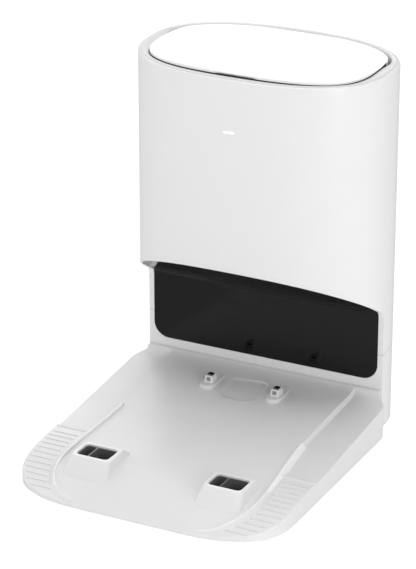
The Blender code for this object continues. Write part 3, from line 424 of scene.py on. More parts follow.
for name, node in NODES.items():
    look = look_of(name)
    if not node.material_slots:
        node.data.materials.append(look)
    for s in node.material_slots:
        s.material = look

# ---------------------------------------------------------------- tower: upper housing
A0 = angle_y(RECESS_Y)
REAR_STOPS = [A0] + [angle_x(x) for x in (COVER_X, 0.0715, 0.0615, 0.0385, 0.0085, -COVER_X)]
REAR_STOPS += [math.pi - A0]
rear_cols = spread(REAR_STOPS, 150)
front_cols = spread([math.pi - A0, 1.5 * math.pi, 2 * math.pi + A0], 190)[1:-1]
all_cols = rear_cols + front_cols


def is_rear_gate(j, cols):
    """Whether column j crosses the opening for the rear cover."""
    if j + 1 >= len(cols):
        return False
    mid = (cols[j] + cols[j + 1]) / 2
    x, y = oval_at(mid)
    return y > MID_Y and abs(x) < COVER_X


upper_mesh = Mesh()
Z0 = ceiling(RECESS_Y)
SHOULDER_LOW = CREST_Z - CREST_R
lows = []
for a in all_cols:
    x, y = oval_at(a)
    lows.append(ceiling(y) + 0.0004 if y < RECESS_Y - 1e-6 else Z0)
rows = []
for k in range(25):
    t = k / 24
    rows.append([(*oval_at(a), lo + (COVER_TOP_Z - lo) * t) for a, lo in zip(all_cols, lows)])
upper_mesh.grid(rows, closed=True, keep=lambda i, j: not is_rear_gate(j, rear_cols))
rows = [[(*oval_at(a), COVER_TOP_Z + (SHOULDER_LOW - COVER_TOP_Z) * k / 4) for a in all_cols]
        for k in range(5)]


def well_in(a):
    """Inset of the lid well's wall: wider behind the hinge."""
    behind = step(0.118, 0.156, oval_at(a)[1])
    return max((lid_in(a) - LID_GAP) * (1 - behind) + REAR_WELL_IN * behind, CREST_R + 0.0006)


wells = [well_in(a) for a in all_cols]
crests = [crest_at(oval_at(a)[1]) for a in all_cols]


def rim_row(part, drop):
    """Row of the rim's inner slope, from the crest (0) to the gap round the lid (1)."""
    start = CREST_R + 0.0002
    return [(*oval_at(a, start + (w - start) * part), c - CREST_FALL * part - drop)
            for a, w, c in zip(all_cols, wells, crests)]


for k in range(1, 13):
    t = math.pi / 2 * k / 12
    rows.append([(*oval_at(a, CREST_R * (1 - math.cos(t))), SHOULDER_LOW + (c - SHOULDER_LOW) * math.sin(t))
                 for a, c in zip(all_cols, crests)])
RIM_ROWS = [(0.0, 0.0), (0.12, -0.0001), (0.35, 0.0), (0.65, 0.0), (0.94, 0.0), (0.985, 0.0001),
            (1.0, 0.0004)]
for part, drop in RIM_ROWS:
    rows.append(rim_row(part, drop))
rows.append([(*oval_at(a, w), WELL_STEP_Z) for a, w in zip(all_cols, wells)])
rows.append([(*oval_at(a, w), WELL_FLOOR_Z) for a, w in zip(all_cols, wells)])
rows.append([(*oval_at(a, WALL), WELL_FLOOR_Z) for a in all_cols])
rows.append([(*oval_at(a, WALL), 0.3700) for a in all_cols])
upper_mesh.grid(rows, closed=True)
# lower edge behind the bay
low_rows = [(WALL, SPLIT_Z + 0.003), (WALL, SPLIT_Z), (0.0003, SPLIT_Z), (0.0001, SPLIT_Z + 0.0001),
            (0.0, SPLIT_Z + 0.0003)]
low_rows += [(0.0, SPLIT_Z + 0.0003 + (Z0 - SPLIT_Z - 0.0003) * k / 6) for k in range(1, 7)]
upper_mesh.grid([[(*oval_at(a, i), z) for a in rear_cols] for i, z in low_rows],
        keep=lambda i, j: not is_rear_gate(j, rear_cols))
# rim of the bay: rounded edge, then the return along the ceiling up to the dark panel
rim_cols = [rear_cols[-1]] + front_cols + [rear_cols[0] + 2 * math.pi]
rim = [[], [], [], [], []]
for a in rim_cols:
    x, y = oval_at(a)
    first = y >= RECESS_Y - 1e-6
    rim[0].append((x, y, Z0 if first else ceiling(y) + 0.0004))
    for k, (i, dz) in enumerate(((0.00012, 0.00012), (0.0004, 0.0))):
        px, py = oval_at(a, i)
        rim[k + 1].append((px, min(py, RECESS_Y), ceiling(min(py, RECESS_Y)) + (0.0 if first else dz)))
    px, py = oval_at(a, WALL)
    px = max(min(px, PANEL_W), -PANEL_W)
    py = min(py, RECESS_Y)
    rim[3].append((px, py, ceiling(py)))
    rim[4].append((px, py + 0.0012, ceiling(py) + 0.0020))
upper_mesh.grid(rim)
for sign in (-1, 1):
    xo = oval_at(A0)[0]
    cols = [(xo, RECESS_Y), (xo - 0.0004, RECESS_Y), (PANEL_W, RECESS_Y), (PANEL_W, RECESS_Y + 0.0024)]
    zs = [SPLIT_Z + (Z0 - SPLIT_Z) * k / 8 for k in range(9)]
    upper_mesh.grid([[(sign * x, y, z) for x, y in cols] for z in zs])
for sign in (-1, 1):
    a = angle_x(sign * COVER_X)
    upper_mesh.grid([[(*oval_at(a, i), z) for i in (0.0, WALL)] for z in (SPLIT_Z, 0.2, 0.3, COVER_TOP_Z)])
gate = [a for a in rear_cols if abs(oval_at(a)[0]) <= 0.1051 and oval_at(a)[1] > MID_Y]
upper_mesh.grid([[(*oval_at(a, i), COVER_TOP_Z) for a in gate] for i in (0.0, WALL)])
upper = upper_mesh.build("tower_shell_upper", WHITE, sharp=38)
# the rim's upward-facing faces above the shoulder take the darker copy: painted shade on the ring round the
# lid
upper.data.materials.append(RIM_SHADE)
for poly in upper.data.polygons:
    if poly.center.z > SHOULDER_LOW + 0.0015 and poly.normal.z > 0.88:
        poly.material_index = 1
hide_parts("upper_housing")

# ---------------------------------------------------------------- tower: lower housing
lower_mesh = Mesh()
base_rows = [LIFT, 0.0019, 0.0025, 0.008, 0.016, 0.0245, 0.036, 0.0475, 0.056, 0.066, 0.0750, 0.0757]
top_rows = [0.0757, 0.0800, 0.0845, SPLIT_Z - 0.0006, SPLIT_Z - 0.0004, SPLIT_Z - 0.0003]
edge_in = {LIFT: 0.0006, 0.0019: 0.0002, SPLIT_Z - 0.0004: 0.0001, SPLIT_Z - 0.0003: 0.0003}


def lower_keep(zs):
    """Leaves out the openings for the rear cover and the power socket."""
    def keep(i, j):
        mid_z = (zs[i] + zs[i + 1]) / 2
        x, y = oval_at((rear_cols[j] + rear_cols[j + 1]) / 2)
        if y > MID_Y and abs(x) < COVER_X and mid_z > COVER_LOW_Z:
            return False
        return not (y > MID_Y and SOCKET[0] < x < SOCKET[1] and SOCKET[2] < mid_z < SOCKET[3])
    return keep


for zs in (base_rows, top_rows):
    wall_rows = [[(*oval_at(a, edge_in.get(z, 0.0)), z) for a in rear_cols] for z in zs]
    lower_mesh.grid(wall_rows, keep=lower_keep(zs))
lower_mesh.grid([[(*oval_at(a, i), SPLIT_Z - 0.0003) for a in rear_cols] for i in (0.0003, WALL)],
             keep=lambda i, j: not is_rear_gate(j, rear_cols))
lower_mesh.grid([[(*oval_at(a, i), z) for a in rear_cols]
              for i, z in ((0.0006, LIFT), (WALL, LIFT), (WALL, 0.006))])


def window_z(x):
    """Top of the front wall below the dark panel's window."""
    v = abs(x) - (PANEL_W - PANEL_R)
    if v <= 0:
        return PANEL_Z
    if v >= PANEL_R:
        return PANEL_Z + PANEL_R
    return PANEL_Z + PANEL_R - math.sqrt(PANEL_R ** 2 - v ** 2)


side_x = oval_at(A0)[0]
wall_x = [-side_x, -side_x + 0.0004, -(PANEL_W + 0.003), -PANEL_W]
wall_x += [-(PANEL_W - PANEL_R) - PANEL_R * math.cos(math.pi / 2 * k / 12) for k in range(1, 13)]
wall_x += [-0.1184 + 0.2368 * k / 20 for k in range(1, 20)]
wall_x += [-x for x in reversed(wall_x[:16])]
frac = [(z - base_rows[0]) / (base_rows[-1] - base_rows[0]) for z in base_rows]
lower_mesh.grid([[(x, RECESS_Y, base_rows[0] + f * (window_z(x) - base_rows[0])) for x in wall_x]
                 for f in frac])
for sign in (-1, 1):
    lower_mesh.grid([[(sign * x, RECESS_Y, z) for x in (side_x, side_x - 0.0004, PANEL_W + 0.003, PANEL_W)]
                  for z in top_rows])
edge_line = [(x, window_z(x)) for x in wall_x[3:-3]]
edge_line = [(-PANEL_W, SPLIT_Z - 0.0003)] + edge_line + [(PANEL_W, SPLIT_Z - 0.0003)]
lower_mesh.grid([[(x, y, z) for x, z in edge_line] for y in (RECESS_Y, RECESS_Y + 0.0024)])
for sign in (1, -1):
    lower_mesh.grid([[(sign * x, y, SPLIT_Z - 0.0003) for y in (RECESS_Y, RECESS_Y + 0.0024)]
                     for x in (side_x, PANEL_W)])
# the hole for the power socket
x0, x1, z0, z1 = SOCKET
ring = [(x0, z0), (x1, z0), (x1, z1), (x0, z1), (x0, z0)]
lower_mesh.grid([[(*oval_at(angle_x(x), i), z) for x, z in ring] for i in (0.0, 0.0030)])
for sign in (-1, 1):
    a = angle_x(sign * COVER_X)
    lower_mesh.grid([[(*oval_at(a, i), z) for i in (0.0, WALL)] for z in (COVER_LOW_Z, 0.08, SPLIT_Z)])
lower_mesh.grid([[(*oval_at(a, i), COVER_LOW_Z) for a in gate] for i in (0.0, WALL)])
lower = lower_mesh.build("tower_shell_lower", WHITE, sharp=38)
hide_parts("lower_housing")

# ---------------------------------------------------------------- rear cover and grille
cover_cols = spread([angle_x(x) for x in (0.1047, 0.0715, 0.0085, -0.1047)], 90)
cover_z = [0.0753, 0.0850, 0.1000, 0.1180, 0.1420, 0.1660, 0.2100, 0.2600, 0.3100, 0.3717]


def cover_keep(i, j):
    """Leaves out the opening for the exhaust grille."""
    x = oval_at((cover_cols[j] + cover_cols[j + 1]) / 2)[0]
    mid = (cover_z[i] + cover_z[i + 1]) / 2
    return not (GRILLE[0] < x < GRILLE[1] and GRILLE[2] < mid < GRILLE[3])


cover_mesh = Mesh().grid([[(*oval_at(a), z) for a in cover_cols] for z in cover_z], keep=cover_keep)
cover = cover_mesh.build("rear_cover_panel", WHITE)
thick = cover.modifiers.new("wall", "SOLIDIFY")
thick.thickness = 0.0024
thick.offset = -1.0
soft = cover.modifiers.new("edge", "BEVEL")
soft.width = 0.0005
soft.segments = 2
soft.limit_method = "ANGLE"
soft.angle_limit = math.radians(50)
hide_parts("rear_cover")

# ---------------------------------------------------------------- dark signal panel
panel_mesh = Mesh()
lean = math.atan(SLOPE)
turn = math.pi / 2 - lean
# rows along the wall, the fillet and the ceiling; each carries its half width
grow = 0.0004
cy = RECESS_Y - FILLET
cz = RECESS_TOP - FILLET * math.tan(turn / 2)
rowset = []
for k in range(31):
    if k <= 16:
        rise = (1 - math.cos(math.pi / 2 * (k / 16))) * PANEL_R
    else:
        rise = PANEL_R + (cz - PANEL_Z - PANEL_R) * (k - 16) / 14
    rowset.append((RECESS_Y + grow, PANEL_Z + FIT + rise))
for k in range(1, 13):
    t = turn * k / 12
    rowset.append((cy + (FILLET + grow) * math.cos(t), cz + (FILLET + grow) * math.sin(t)))
y_last = rowset[-1][0]
for k in range(1, 61):
    s = math.sin(math.pi / 2 * k / 60)
    y = y_last + (MID_Y - HALF_D + WALL + 0.0004 - y_last) * s
    rowset.append((y, ceiling(y, grow)))


def panel_half(y, z):
    """Half width of the panel's row at (y, z), inside the window's corners and the tower's wall."""
    half = PANEL_W - FIT
    v = PANEL_Z + PANEL_R - z
    if v > 0:
        half = PANEL_W - PANEL_R + math.sqrt(max((PANEL_R - FIT) ** 2 - v ** 2, 0.0))
    if y < RECESS_Y - 0.001:
        a = angle_y(y)
        for _ in range(6):
            shift = oval_at(a)[1] - oval_at(a, WALL + FIT)[1]
            a = angle_y(min(max(y + shift, MID_Y - HALF_D), MID_Y))
            lim = oval_at(a, WALL + FIT)
        half = min(half, max(lim[0], 0.0004))
    return half


cells = [math.sin(math.pi / 2 * (2 * k / 64 - 1)) for k in range(65)]
front_face = [[(s * panel_half(y, z), y, z) for s in cells] for y, z in rowset]
panel_mesh.grid(front_face)
back = []
for k, (y, z) in enumerate(rowset):
    a = rowset[max(k - 1, 0)]
    b = rowset[min(k + 1, len(rowset) - 1)]
    ty = b[0] - a[0]
    tz = b[1] - a[1]
    size = math.hypot(ty, tz)
    back.append((y + 0.0020 * tz / size, z - 0.0020 * ty / size))
for sign in (0, -1):
    panel_mesh.grid([[row[sign], (row[sign][0], *behind)] for row, behind in zip(front_face, back)])
panel_mesh.grid([[p for p in front_face[0]], [(p[0], back[0][0], back[0][1]) for p in front_face[0]]])
panel = panel_mesh.build("signal_panel_gloss", PANEL, sharp=50)
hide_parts("signal_panel")
slot_mesh = Mesh()
for slot_x in SLOT_XS:
    ring = rounded(slot_x, SLOT_Z, SLOT_HALF_W, SLOT_HALF_H, [0.0004] * 4, 3)
    slot_rings = [[(x, RECESS_Y + depth, z) for x, z in ring] for depth in (0.0010, 0.00032)]
    loft(slot_mesh, slot_rings, cap_top=True)
slots = slot_mesh.build("signal_slots", SLOT)

# ---------------------------------------------------------------- status light
light_mesh = Mesh()
yf = MID_Y - HALF_D
LIGHT_Z = 0.3487
ring = rounded(0.0, LIGHT_Z, 0.0061, 0.0010, [0.0009] * 4, 5)
small = rounded(0.0, LIGHT_Z, 0.0059, 0.0008, [0.0007] * 4, 5)
loft(light_mesh, [[(x, yf + 0.001, z) for x, z in ring], [(x, yf - 0.00010, z) for x, z in ring],
          [(x, yf - 0.00020, z) for x, z in small]], cap_top=True)
light = light_mesh.build("status_lens", LENS)
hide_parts("status_light")

# ---------------------------------------------------------------- lid
lid_cols = spread([0, math.pi / 2, math.pi, 1.5 * math.pi, 2 * math.pi], 260)[:-1]
lid_ins = {a: lid_in(a) for a in lid_cols}


def notch(a):
    """Depth of the finger notch under the lid's front edge."""
    x, y = oval_at(a)
    if y > MID_Y:
        return 0.0
    return NOTCH_DEPTH * (1 - step(NOTCH_IN_X, NOTCH_OUT_X, abs(x)))


def lid_row(inset, z):
    return [(*oval_at(a, lid_ins[a] + inset), z) for a in lid_cols]


def lip_row(part, z):
    return [(*oval_at(a, lid_ins[a] + notch(a) * part), z) for a in lid_cols]


lid_mesh = Mesh()
rows = [lid_row(0.0026, 0.3990), lid_row(0.0024, 0.3986), lip_row(1.0, 0.3985), lip_row(1.0, 0.3990),
        lip_row(1.0, LID_TOP - 0.0034), lip_row(0.9, LID_TOP - 0.0028)]
for k in range(0, 11):
    t = math.pi / 2 * k / 10
    rows.append(lid_row(LID_R * (1 - math.cos(t)), LID_TOP - LID_R * (1 - math.sin(t))))
for f in (0.9, 0.7, 0.45, 0.2, 0.05):
    rows.append([(x * f, MID_Y + (y - MID_Y) * f, z) for x, y, z in lid_row(LID_R, LID_TOP)])
lid_mesh.grid(rows, closed=True)
lid_mesh.face(rows[-1])
inner = [lid_row(0.0026, z) for z in (0.3990, LID_TOP - 0.0025)]
lid_mesh.grid(inner, closed=True)
lid_mesh.face(inner[-1])
lid = lid_mesh.build("lid_cover", LID, body="lid", sharp=38)
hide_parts("lid")


GAP_SHADE_END = angle_y(GAP_SHADE_END_Y)
gap_shade_cols = spread([math.pi - GAP_SHADE_END, 1.5 * math.pi, 2 * math.pi + GAP_SHADE_END], 200)


def gap_shade_ring(a, inset, rise):
    """Point of the dark strip in the gap round the lid, painted shade where the gap is only in shadow; it
    climbs behind the finger notch.
    """
    deep = notch(a) / NOTCH_DEPTH
    x, y = oval_at(a)
    top = crest_at(y) - 0.0003 - 0.0003 * deep - 0.0003 * step(0.08, 0.12, abs(x))
    return (*oval_at(a, lid_in(a) + inset + notch(a) * 0.3), WELL_STEP_Z + (top - WELL_STEP_Z) * rise)


# a dark strip in the gap round the lid's front half: painted shade where the gap is only in shadow
gap_shade_mesh = Mesh().grid([[gap_shade_ring(a, i, r) for a in gap_shade_cols] for i, r in (
    (0.0006, 0.0), (-0.0002, 0.1), (-0.00025, 0.5), (-0.0002, 0.94), (0.0002, 1.0), (0.0012, 1.0))])
gap_shade_piece = gap_shade_mesh.build("lid_gap_painted_shade", RUBBER, body="lid")


# ---------------------------------------------------------------- tray
def tray_edge(y):
    """Half width of the tray at y."""
    centre_y = FRONT_Y + COR_B
    if y < centre_y:
        v = min((centre_y - y) / COR_B, 1.0)
        return TRAY_W - COR_A + COR_A * (1 - v ** COR_P) ** (1 / COR_P)
    if y <= REAR_CORNER_Y:
        return TRAY_W
    s = (y - REAR_CORNER_Y) / REAR_CORNER_R
    if s < math.sin(REAR_CORNER_TURN):
        return TRAY_W - REAR_CORNER_R + REAR_CORNER_R * math.sqrt(1 - s * s)
    x0 = TRAY_W - REAR_CORNER_R + REAR_CORNER_R * math.cos(REAR_CORNER_TURN)
    y0 = REAR_CORNER_Y + REAR_CORNER_R * math.sin(REAR_CORNER_TURN)
    return x0 + (0.1413 - x0) * (y - y0) / (REAR_Y - y0)


def edge_distance(x, y):
    """Rough distance from the tray's outline."""
    centre_y = FRONT_Y + COR_B
    ax = abs(x)
    if y >= centre_y:
        return tray_edge(y) - ax
    v = (centre_y - y) / COR_B
    if ax <= TRAY_W - COR_A:
        return y - FRONT_Y
    u = (ax - TRAY_W + COR_A) / COR_A
    f = (u ** COR_P + v ** COR_P) ** (1 / COR_P)
    if f < 1e-6:
        return COR_B
    gx = (u / f) ** (COR_P - 1) / COR_A
    gy = (v / f) ** (COR_P - 1) / COR_B
    return (1 - f) / max(math.hypot(gx, gy), 1e-9)


def plat_edge(y):
    """Half width of the raised centre platform."""
    if y >= RAIL_START:
        return PLATFORM_MID_X + (PLATFORM_REAR_X - PLATFORM_MID_X) * (y - RAIL_START) / (REAR_Y - RAIL_START)
    return rail_at(max(y, -0.1975))


def rounded_gap(x, y, cx, centre_y, hx, hy, r):
    """Signed distance to a rounded rectangle, negative inside."""
    qx = abs(x - cx) - hx + r
    qy = abs(y - centre_y) - hy + r
    return math.hypot(max(qx, 0.0), max(qy, 0.0)) + min(max(qx, qy), 0.0) - r


def outside_z(y):
    """Height beside the platform: the ramp, then the wheel track."""
    return ramp_z(y) if y < RAMP_END else track_z(y)


def tray_height(x, y):
    """Height of the tray's top: platform, ramp and tracks, ribs, cross bar, pips, pocket and rounded rim."""
    ax = abs(x)
    zp = plat_z(y)
    out = outside_z(y)
    if RAMP_END <= y < TRACK_START:
        out = ramp_z(RAMP_END) + (track_z(TRACK_START) - ramp_z(RAMP_END)) * step(-0.0841, -0.0837, y)
    pe = plat_edge(y)
    z = zp
    if ax > pe:
        width = 0.0026 if y > RAIL_START else 0.0052
        z = zp + (out - zp) * step(-0.0006, width, ax - pe) if zp > out else out
        if ax > pe + width:
            z = out
    rise = 0.0
    foot = pe + 0.0068
    lim = tray_edge(y)
    if y < -0.0850 and foot < ax < lim - 0.0030:
        for ry in RIBS:
            d = y - ry
            if -0.0013 < d < 0.0016:
                rise = 0.00085 * step(-0.0005, -0.0003, d) * (1 - step(0.0004, 0.0014, d))
                rise -= 0.00035 * (1 - step(0.0001, 0.0005, abs(d + 0.0008)))
        ends = min(step(foot, foot + 0.0008, ax), 1 - step(lim - 0.0038, lim - 0.0030, ax))
        rise *= ends
    if -0.0864 < y < -0.0839 and 0.1160 < ax < TRAY_W - 0.0006:
        rise = max(rise, 0.0011 * step(-0.0863, -0.0859, y) * (1 - step(-0.0845, -0.0840, y)))
    z += rise
    for bx, by in ((0.1206, -0.0675), (0.1269, -0.0760)):
        d = math.hypot(ax - bx, y - by)
        if d < 0.0016:
            z += 0.0007 * math.cos(d / 0.0016 * math.pi / 2)
    gap = rounded_gap(x, y, -0.0005, 0.0575, 0.0232, 0.0235, 0.008 if y > 0.0575 else 0.014)
    z -= POCKET_DEPTH * (1 - step(-0.0030 - 0.0040 * step(0.006, -0.018, x), 0.0002, gap))
    if abs(gap) < 0.0012 and (x > 0.004 or y < 0.040):
        z += 0.0004 * (1 - step(0.0002, 0.0011, abs(gap))) * step(-0.012, 0.006, x - (0.060 - y) * 0.2)
    d = edge_distance(x, y)
    r = 0.0014
    if y < REAR_Y - 0.001 and d < r:
        z -= r - math.sqrt(max(r * r - (r - max(d, 0.0)) ** 2, 0.0))
    return z


ys = set()
for d in (0, 0.0001, 0.00035, 0.0007, 0.0011, 0.0016, 0.0024, 0.0034, 0.0046, 0.006):
    ys.add(FRONT_Y + d)
for ry in RIBS:
    for d in (-0.0025, -0.00128, -0.0010, -0.0008, -0.0006, -0.0005, -0.0004, -0.0003, 0.0001, 0.0004, 0.0008,
              0.0012, 0.0015, 0.0030):
        ys.add(ry + d)
for y in (-0.0864, -0.0861, -0.0858, -0.0856, -0.0846, -0.0844, -0.0842, -0.0840, -0.0838, -0.0836, -0.0834):
    ys.add(y)
ys.update([-0.0820 + 0.0020 * k for k in range(31)])
ys.update([-0.0770 + 0.0007 * k for k in range(16)])
ys.update([-0.0200 + 0.0026 * k for k in range(19)])
ys.update([0.0300 + 0.0009 * k for k in range(62)])
ys.update([0.0860 + 0.0008 * k for k in range(27)])
ys.update([0.1040, 0.1042, REAR_Y - 0.0004, REAR_Y])
ys = sorted(y for y in ys if FRONT_Y <= y <= REAR_Y)
clean = [ys[0]]
for y in ys[1:]:
    if y - clean[-1] > 0.00008:
        clean.append(y)
ys = clean


EDGE_COLUMNS = [-0.0030, -0.0018, -0.0010, -0.0006, -0.0002, 0.0002, 0.0007, 0.0012, 0.0018, 0.0024, 0.0030,
                0.0036, 0.0044, 0.0052]


def tray_columns(y):
    """Positions across the right half of one row, aligned to the platform edge and the outline."""
    pe = plat_edge(y)
    lim = tray_edge(y)
    pe = min(pe, lim - 0.012)
    out = [0.030 * k / 30 for k in range(30)]
    out += [0.030 + (pe - 0.0030 - 0.030) * k / 22 for k in range(22)]
    out += [pe + d for d in EDGE_COLUMNS]
    foot = min(pe + 0.0068, lim - 0.0046)
    out += [foot, foot + 0.0004, foot + 0.0008] if foot + 0.0008 < lim - 0.0042 else [
        pe + 0.0052 + (lim - 0.0040 - pe - 0.0052) * f for f in (0.25, 0.5, 0.75)]
    a = out[-1]
    b = lim - 0.0038
    out += [a + (b - a) * k / 16 for k in range(1, 17)]
    out += [lim - d for d in (0.0034, 0.0030, 0.0022, 0.0014, 0.0010, 0.0006, 0.0003, 0.0001, 0.0)]
    return out


top = []
for y in ys:
    right = tray_columns(y)
    line = [-x for x in reversed(right[1:])] + right
    top.append([(x, y, tray_height(x, y)) for x in line])
tray_mesh = Mesh()
holes = [(s * VENT_X, -0.1360, 0.0235, 0.0285) for s in (-1, 1)]
holes += [(s * CONTACT_X, CONTACT_Y, 0.0044, 0.0052) for s in (-1, 1)]


def tray_keep(i, j):
    x = (top[i][j][0] + top[i + 1][j + 1][0]) / 2
    y = (ys[i] + ys[i + 1]) / 2
    for cx, centre_y, hx, hy in holes:
        if abs(x - cx) < hx and abs(y - centre_y) < hy:
            return False
    return True


tray_mesh.grid(top, keep=tray_keep)
loop = [row[-1] for row in top] + list(reversed(top[-1][:-1]))
loop += [row[0] for row in reversed(top[:-1])] + top[0][1:-1]
count = len(loop)


def inward(k, inset, z):
    """Point k of the tray's outline, moved inwards."""
    a = loop[(k - 1) % count]
    b = loop[(k + 1) % count]
    tx = b[0] - a[0]
    ty = b[1] - a[1]
    size = math.hypot(tx, ty) or 1.0
    return (loop[k][0] - inset * ty / size, loop[k][1] + inset * tx / size, z)


skirt = [list(loop), [(p[0], p[1], min(LIFT + 0.0005, p[2])) for p in loop],
         *[[inward(k, inset, z) for k in range(count)]
           for inset, z in ((0.0002, LIFT + 0.0001), (0.0005, LIFT), (0.0026, LIFT), (0.0026, 0.0050))]]
tray_mesh.grid(skirt, closed=True, keep=lambda i, j: i < 3 or loop[j][1] > -0.1765)
front = sorted([p for p in skirt[3] if p[1] < -0.1755 and p[0] >= 0], key=lambda p: (p[1], p[0]))
chain = [(-p[0], p[1], LIFT + 0.00005) for p in reversed(front)]
chain += [(p[0], p[1], LIFT + 0.00005) for p in front]
tray_mesh.face(chain)
tray = tray_mesh.build("tray_shell", TRAY, sharp=36)


def rail_mesh(sign):
    """Guide rail: a low crest that follows its path and fades out at both ends."""
    rail = Mesh()
    fine = []
    pts = [Vector((x, y)) for x, y in RAIL_PATH]
    for i in range(len(pts) - 1):
        p0 = pts[max(i - 1, 0)]
        p1 = pts[i]
        p2 = pts[i + 1]
        p3 = pts[min(i + 2, len(pts) - 1)]
        for k in range(10):
            t = k / 10
            fine.append(0.5 * ((2 * p1) + (p2 - p0) * t + (2 * p0 - 5 * p1 + 4 * p2 - p3) * t * t
                               + (3 * p1 - p0 - 3 * p2 + p3) * t ** 3))
    fine.append(pts[-1])
    rows = []
    for k, p in enumerate(fine):
        a = fine[max(k - 1, 0)]
        b = fine[min(k + 1, len(fine) - 1)]
        t = (b - a).normalized()
        n = Vector((-t.y, t.x))
        f = min(step(-1, 3, k), 1 - 0.85 * step(len(fine) - 34, len(fine) - 1, k))
        rise = RAIL_RISE * f
        zp = plat_z(p.y)
        out = outside_z(p.y)
        row = []
        for off, z in ((-0.0018, zp - 0.0012), (-0.0014, zp - 0.0001), (-0.00115, zp + rise * 0.55),
                       (-0.0009, zp + rise * 0.88), (-0.0005, zp + rise * 0.985), (0.0, zp + rise),
                       (0.0006, zp + rise), (0.0011, zp + rise * 0.94), (0.0017, zp + rise * 0.80),
                       (0.0050, min(out, zp) - 0.0001), (0.0056, min(out, zp) - 0.0012)):
            row.append((sign * (p.x + n.x * off), p.y + n.y * off, z))
        rows.append(row)
    rail.grid(rows)
    rail.face(rows[0])
    rail.face(rows[-1])
    return rail


def guide_rail(sign, side):
    rail = rail_mesh(sign).build("guide_rail_" + side, TRAY, sharp=60)
    # the rail's crest and its upward faces further back take the brighter copy: painted highlight
    rail.data.materials.append(EDGE_HIGHLIGHT)
    for poly in rail.data.polygons:
        crest = poly.normal.z > 0.93 and poly.center.y > -0.186
        if crest or (poly.center.y > -0.120 and poly.normal.z > 0.2):
            poly.material_index = 1


def port_hood(sign, side):
    """Hood over a suction port: it climbs from the platform to a level crown round the opening."""
    cx = sign * VENT_X
    foot = rounded(cx, -0.1360, 0.0262, 0.0315, [0.010, 0.005, 0.005, 0.010], 8)
    crown = rounded(cx, VENT_Y + 0.0006, 0.0230, 0.0172, [0.0065, 0.005, 0.005, 0.0065], 8)
    hole = rounded(cx, VENT_Y, VENT_W / 2, VENT_D / 2, [0.005, 0.004, 0.004, 0.005], 8)
    rings = [[(x, y, plat_z(y) - 0.0008) for x, y in foot]]
    for f, lift in ((-0.03, 0.0), (0.04, 0.00010), (0.12, 0.0), (0.3, 0.0), (0.55, 0.0), (0.8, 0.00003),
                    (0.90, 0.0001), (0.96, 0.00006)):
        ring = []
        for (fx, fy), (crown_x, crown_y) in zip(foot, crown):
            low = plat_z(fy)
            ring.append((fx + (crown_x - fx) * f, fy + (crown_y - fy) * f, low + (HOOD_Z - low) * f + lift))
        rings.append(ring)
    for f, lift in ((0.08, 0.0), (0.42, 0.0), (0.55, 0.00012), (0.68, 0.00042), (0.82, 0.00052),
                    (0.93, 0.00042)):
        rings.append([(a[0] * (1 - f) + b[0] * f, a[1] * (1 - f) + b[1] * f, HOOD_Z + lift)
                      for a, b in zip(crown, hole)])
    rings += [[(x, y, z) for x, y in hole] for z in (HOOD_Z - 0.0006, 0.0200, 0.0140)]
    hood = loft(Mesh(), rings).build("port_hood_" + side, TRAY, sharp=30)
    hood.data.materials.append(EDGE_HIGHLIGHT)
    # the level faces of the crown round the opening take the brighter copy: painted highlight on the hood's
    # rim
    for poly in hood.data.polygons:
        if poly.center.z > HOOD_Z - 0.0002 and poly.normal.z > 0.8:
            poly.material_index = 1


def contact_sleeve(sign, side):
    """Low pad with the tapered sleeve that a charging contact rises through."""
    x = sign * CONTACT_X
    pad = rounded(x, 0.0615, 0.0085, 0.0185, [0.008, 0.002, 0.002, 0.008], 8)
    pad_edge = rounded(x, 0.0615, 0.0080, 0.0180, [0.0075, 0.0015, 0.0015, 0.0075], 8)
    pad_top = rounded(x, 0.0615, 0.0074, 0.0174, [0.0070, 0.0012, 0.0012, 0.0070], 8)
    foot = rounded(x, CONTACT_Y, 0.0055, 0.0065, [0.0012] * 4, 8)
    neck = rounded(x, CONTACT_Y, 0.0044, 0.0051, [0.0009] * 4, 8)
    crown = rounded(x, CONTACT_Y, 0.0041, 0.0048, [0.0007] * 4, 8)
    bore = rounded(x, CONTACT_Y, 0.0031, 0.0038, [0.0003] * 4, 8)
    outlines = ((pad, 0.0370), (pad, 0.0419), (pad_edge, 0.04228), (pad_top, SLEEVE_LOW), (foot, SLEEVE_LOW),
                (neck, 0.0490), (crown, 0.0495), (bore, 0.0495), (bore, 0.0400))
    post = loft(Mesh(), [[(*p, z) for p in ring] for ring, z in outlines])
    post.build("contact_sleeve_" + side, TRAY, sharp=34)


def contact_face(sign, side):
    """Small plate on the front of the sleeve, which leans with it."""
    x = sign * CONTACT_X
    tilt = (0.0064 - 0.0049) / 0.0095
    front_y = CONTACT_Y - 0.0065
    plate = Mesh()
    for z0, z1, half, lift in ((0.0440, 0.0482, 0.0023, 0.00010), (0.0445, 0.0478, 0.0018, 0.00022)):
        plate.grid([[(x + dx, front_y + (z - SLEEVE_LOW) * tilt * 0.86 - lift, z) for dx in (-half, half)]
                    for z in (z0, z1)])
    plate.build("contact_face_" + side, PLATE)


def contact_coil(sign, side):
    """Spring under a contact, built as one fixed coil."""
    x = sign * CONTACT_X
    turns = []
    for k in range(161):
        a = 2 * math.pi * 4 * k / 160
        ring = []
        for n in range(8):
            q = 2 * math.pi * n / 8
            r = COIL_R + WIRE_R * math.cos(q)
            z = COIL_LOW_Z + COIL_RISE * k / 160 + WIRE_R * math.sin(q)
            ring.append((x + r * math.cos(a), CONTACT_Y + r * math.sin(a), z))
        turns.append(ring)
    wire = Mesh().grid(turns, closed=True)
    wire.face(turns[0])
    wire.face(turns[-1])
    coil = wire.build("contact_coil_" + side, STEEL)
    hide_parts("contact_spring_" + side)
    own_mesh(coil)


SLEEVE_LOW = 0.0424
COIL_R = 0.0022
WIRE_R = 0.00032
COIL_LOW_Z = 0.0264
COIL_RISE = 0.0081
for sign, side in ((-1, "left"), (1, "right")):
    for piece in (guide_rail, port_hood, contact_sleeve, contact_face, contact_coil):
        piece(sign, side)

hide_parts("base_tray")

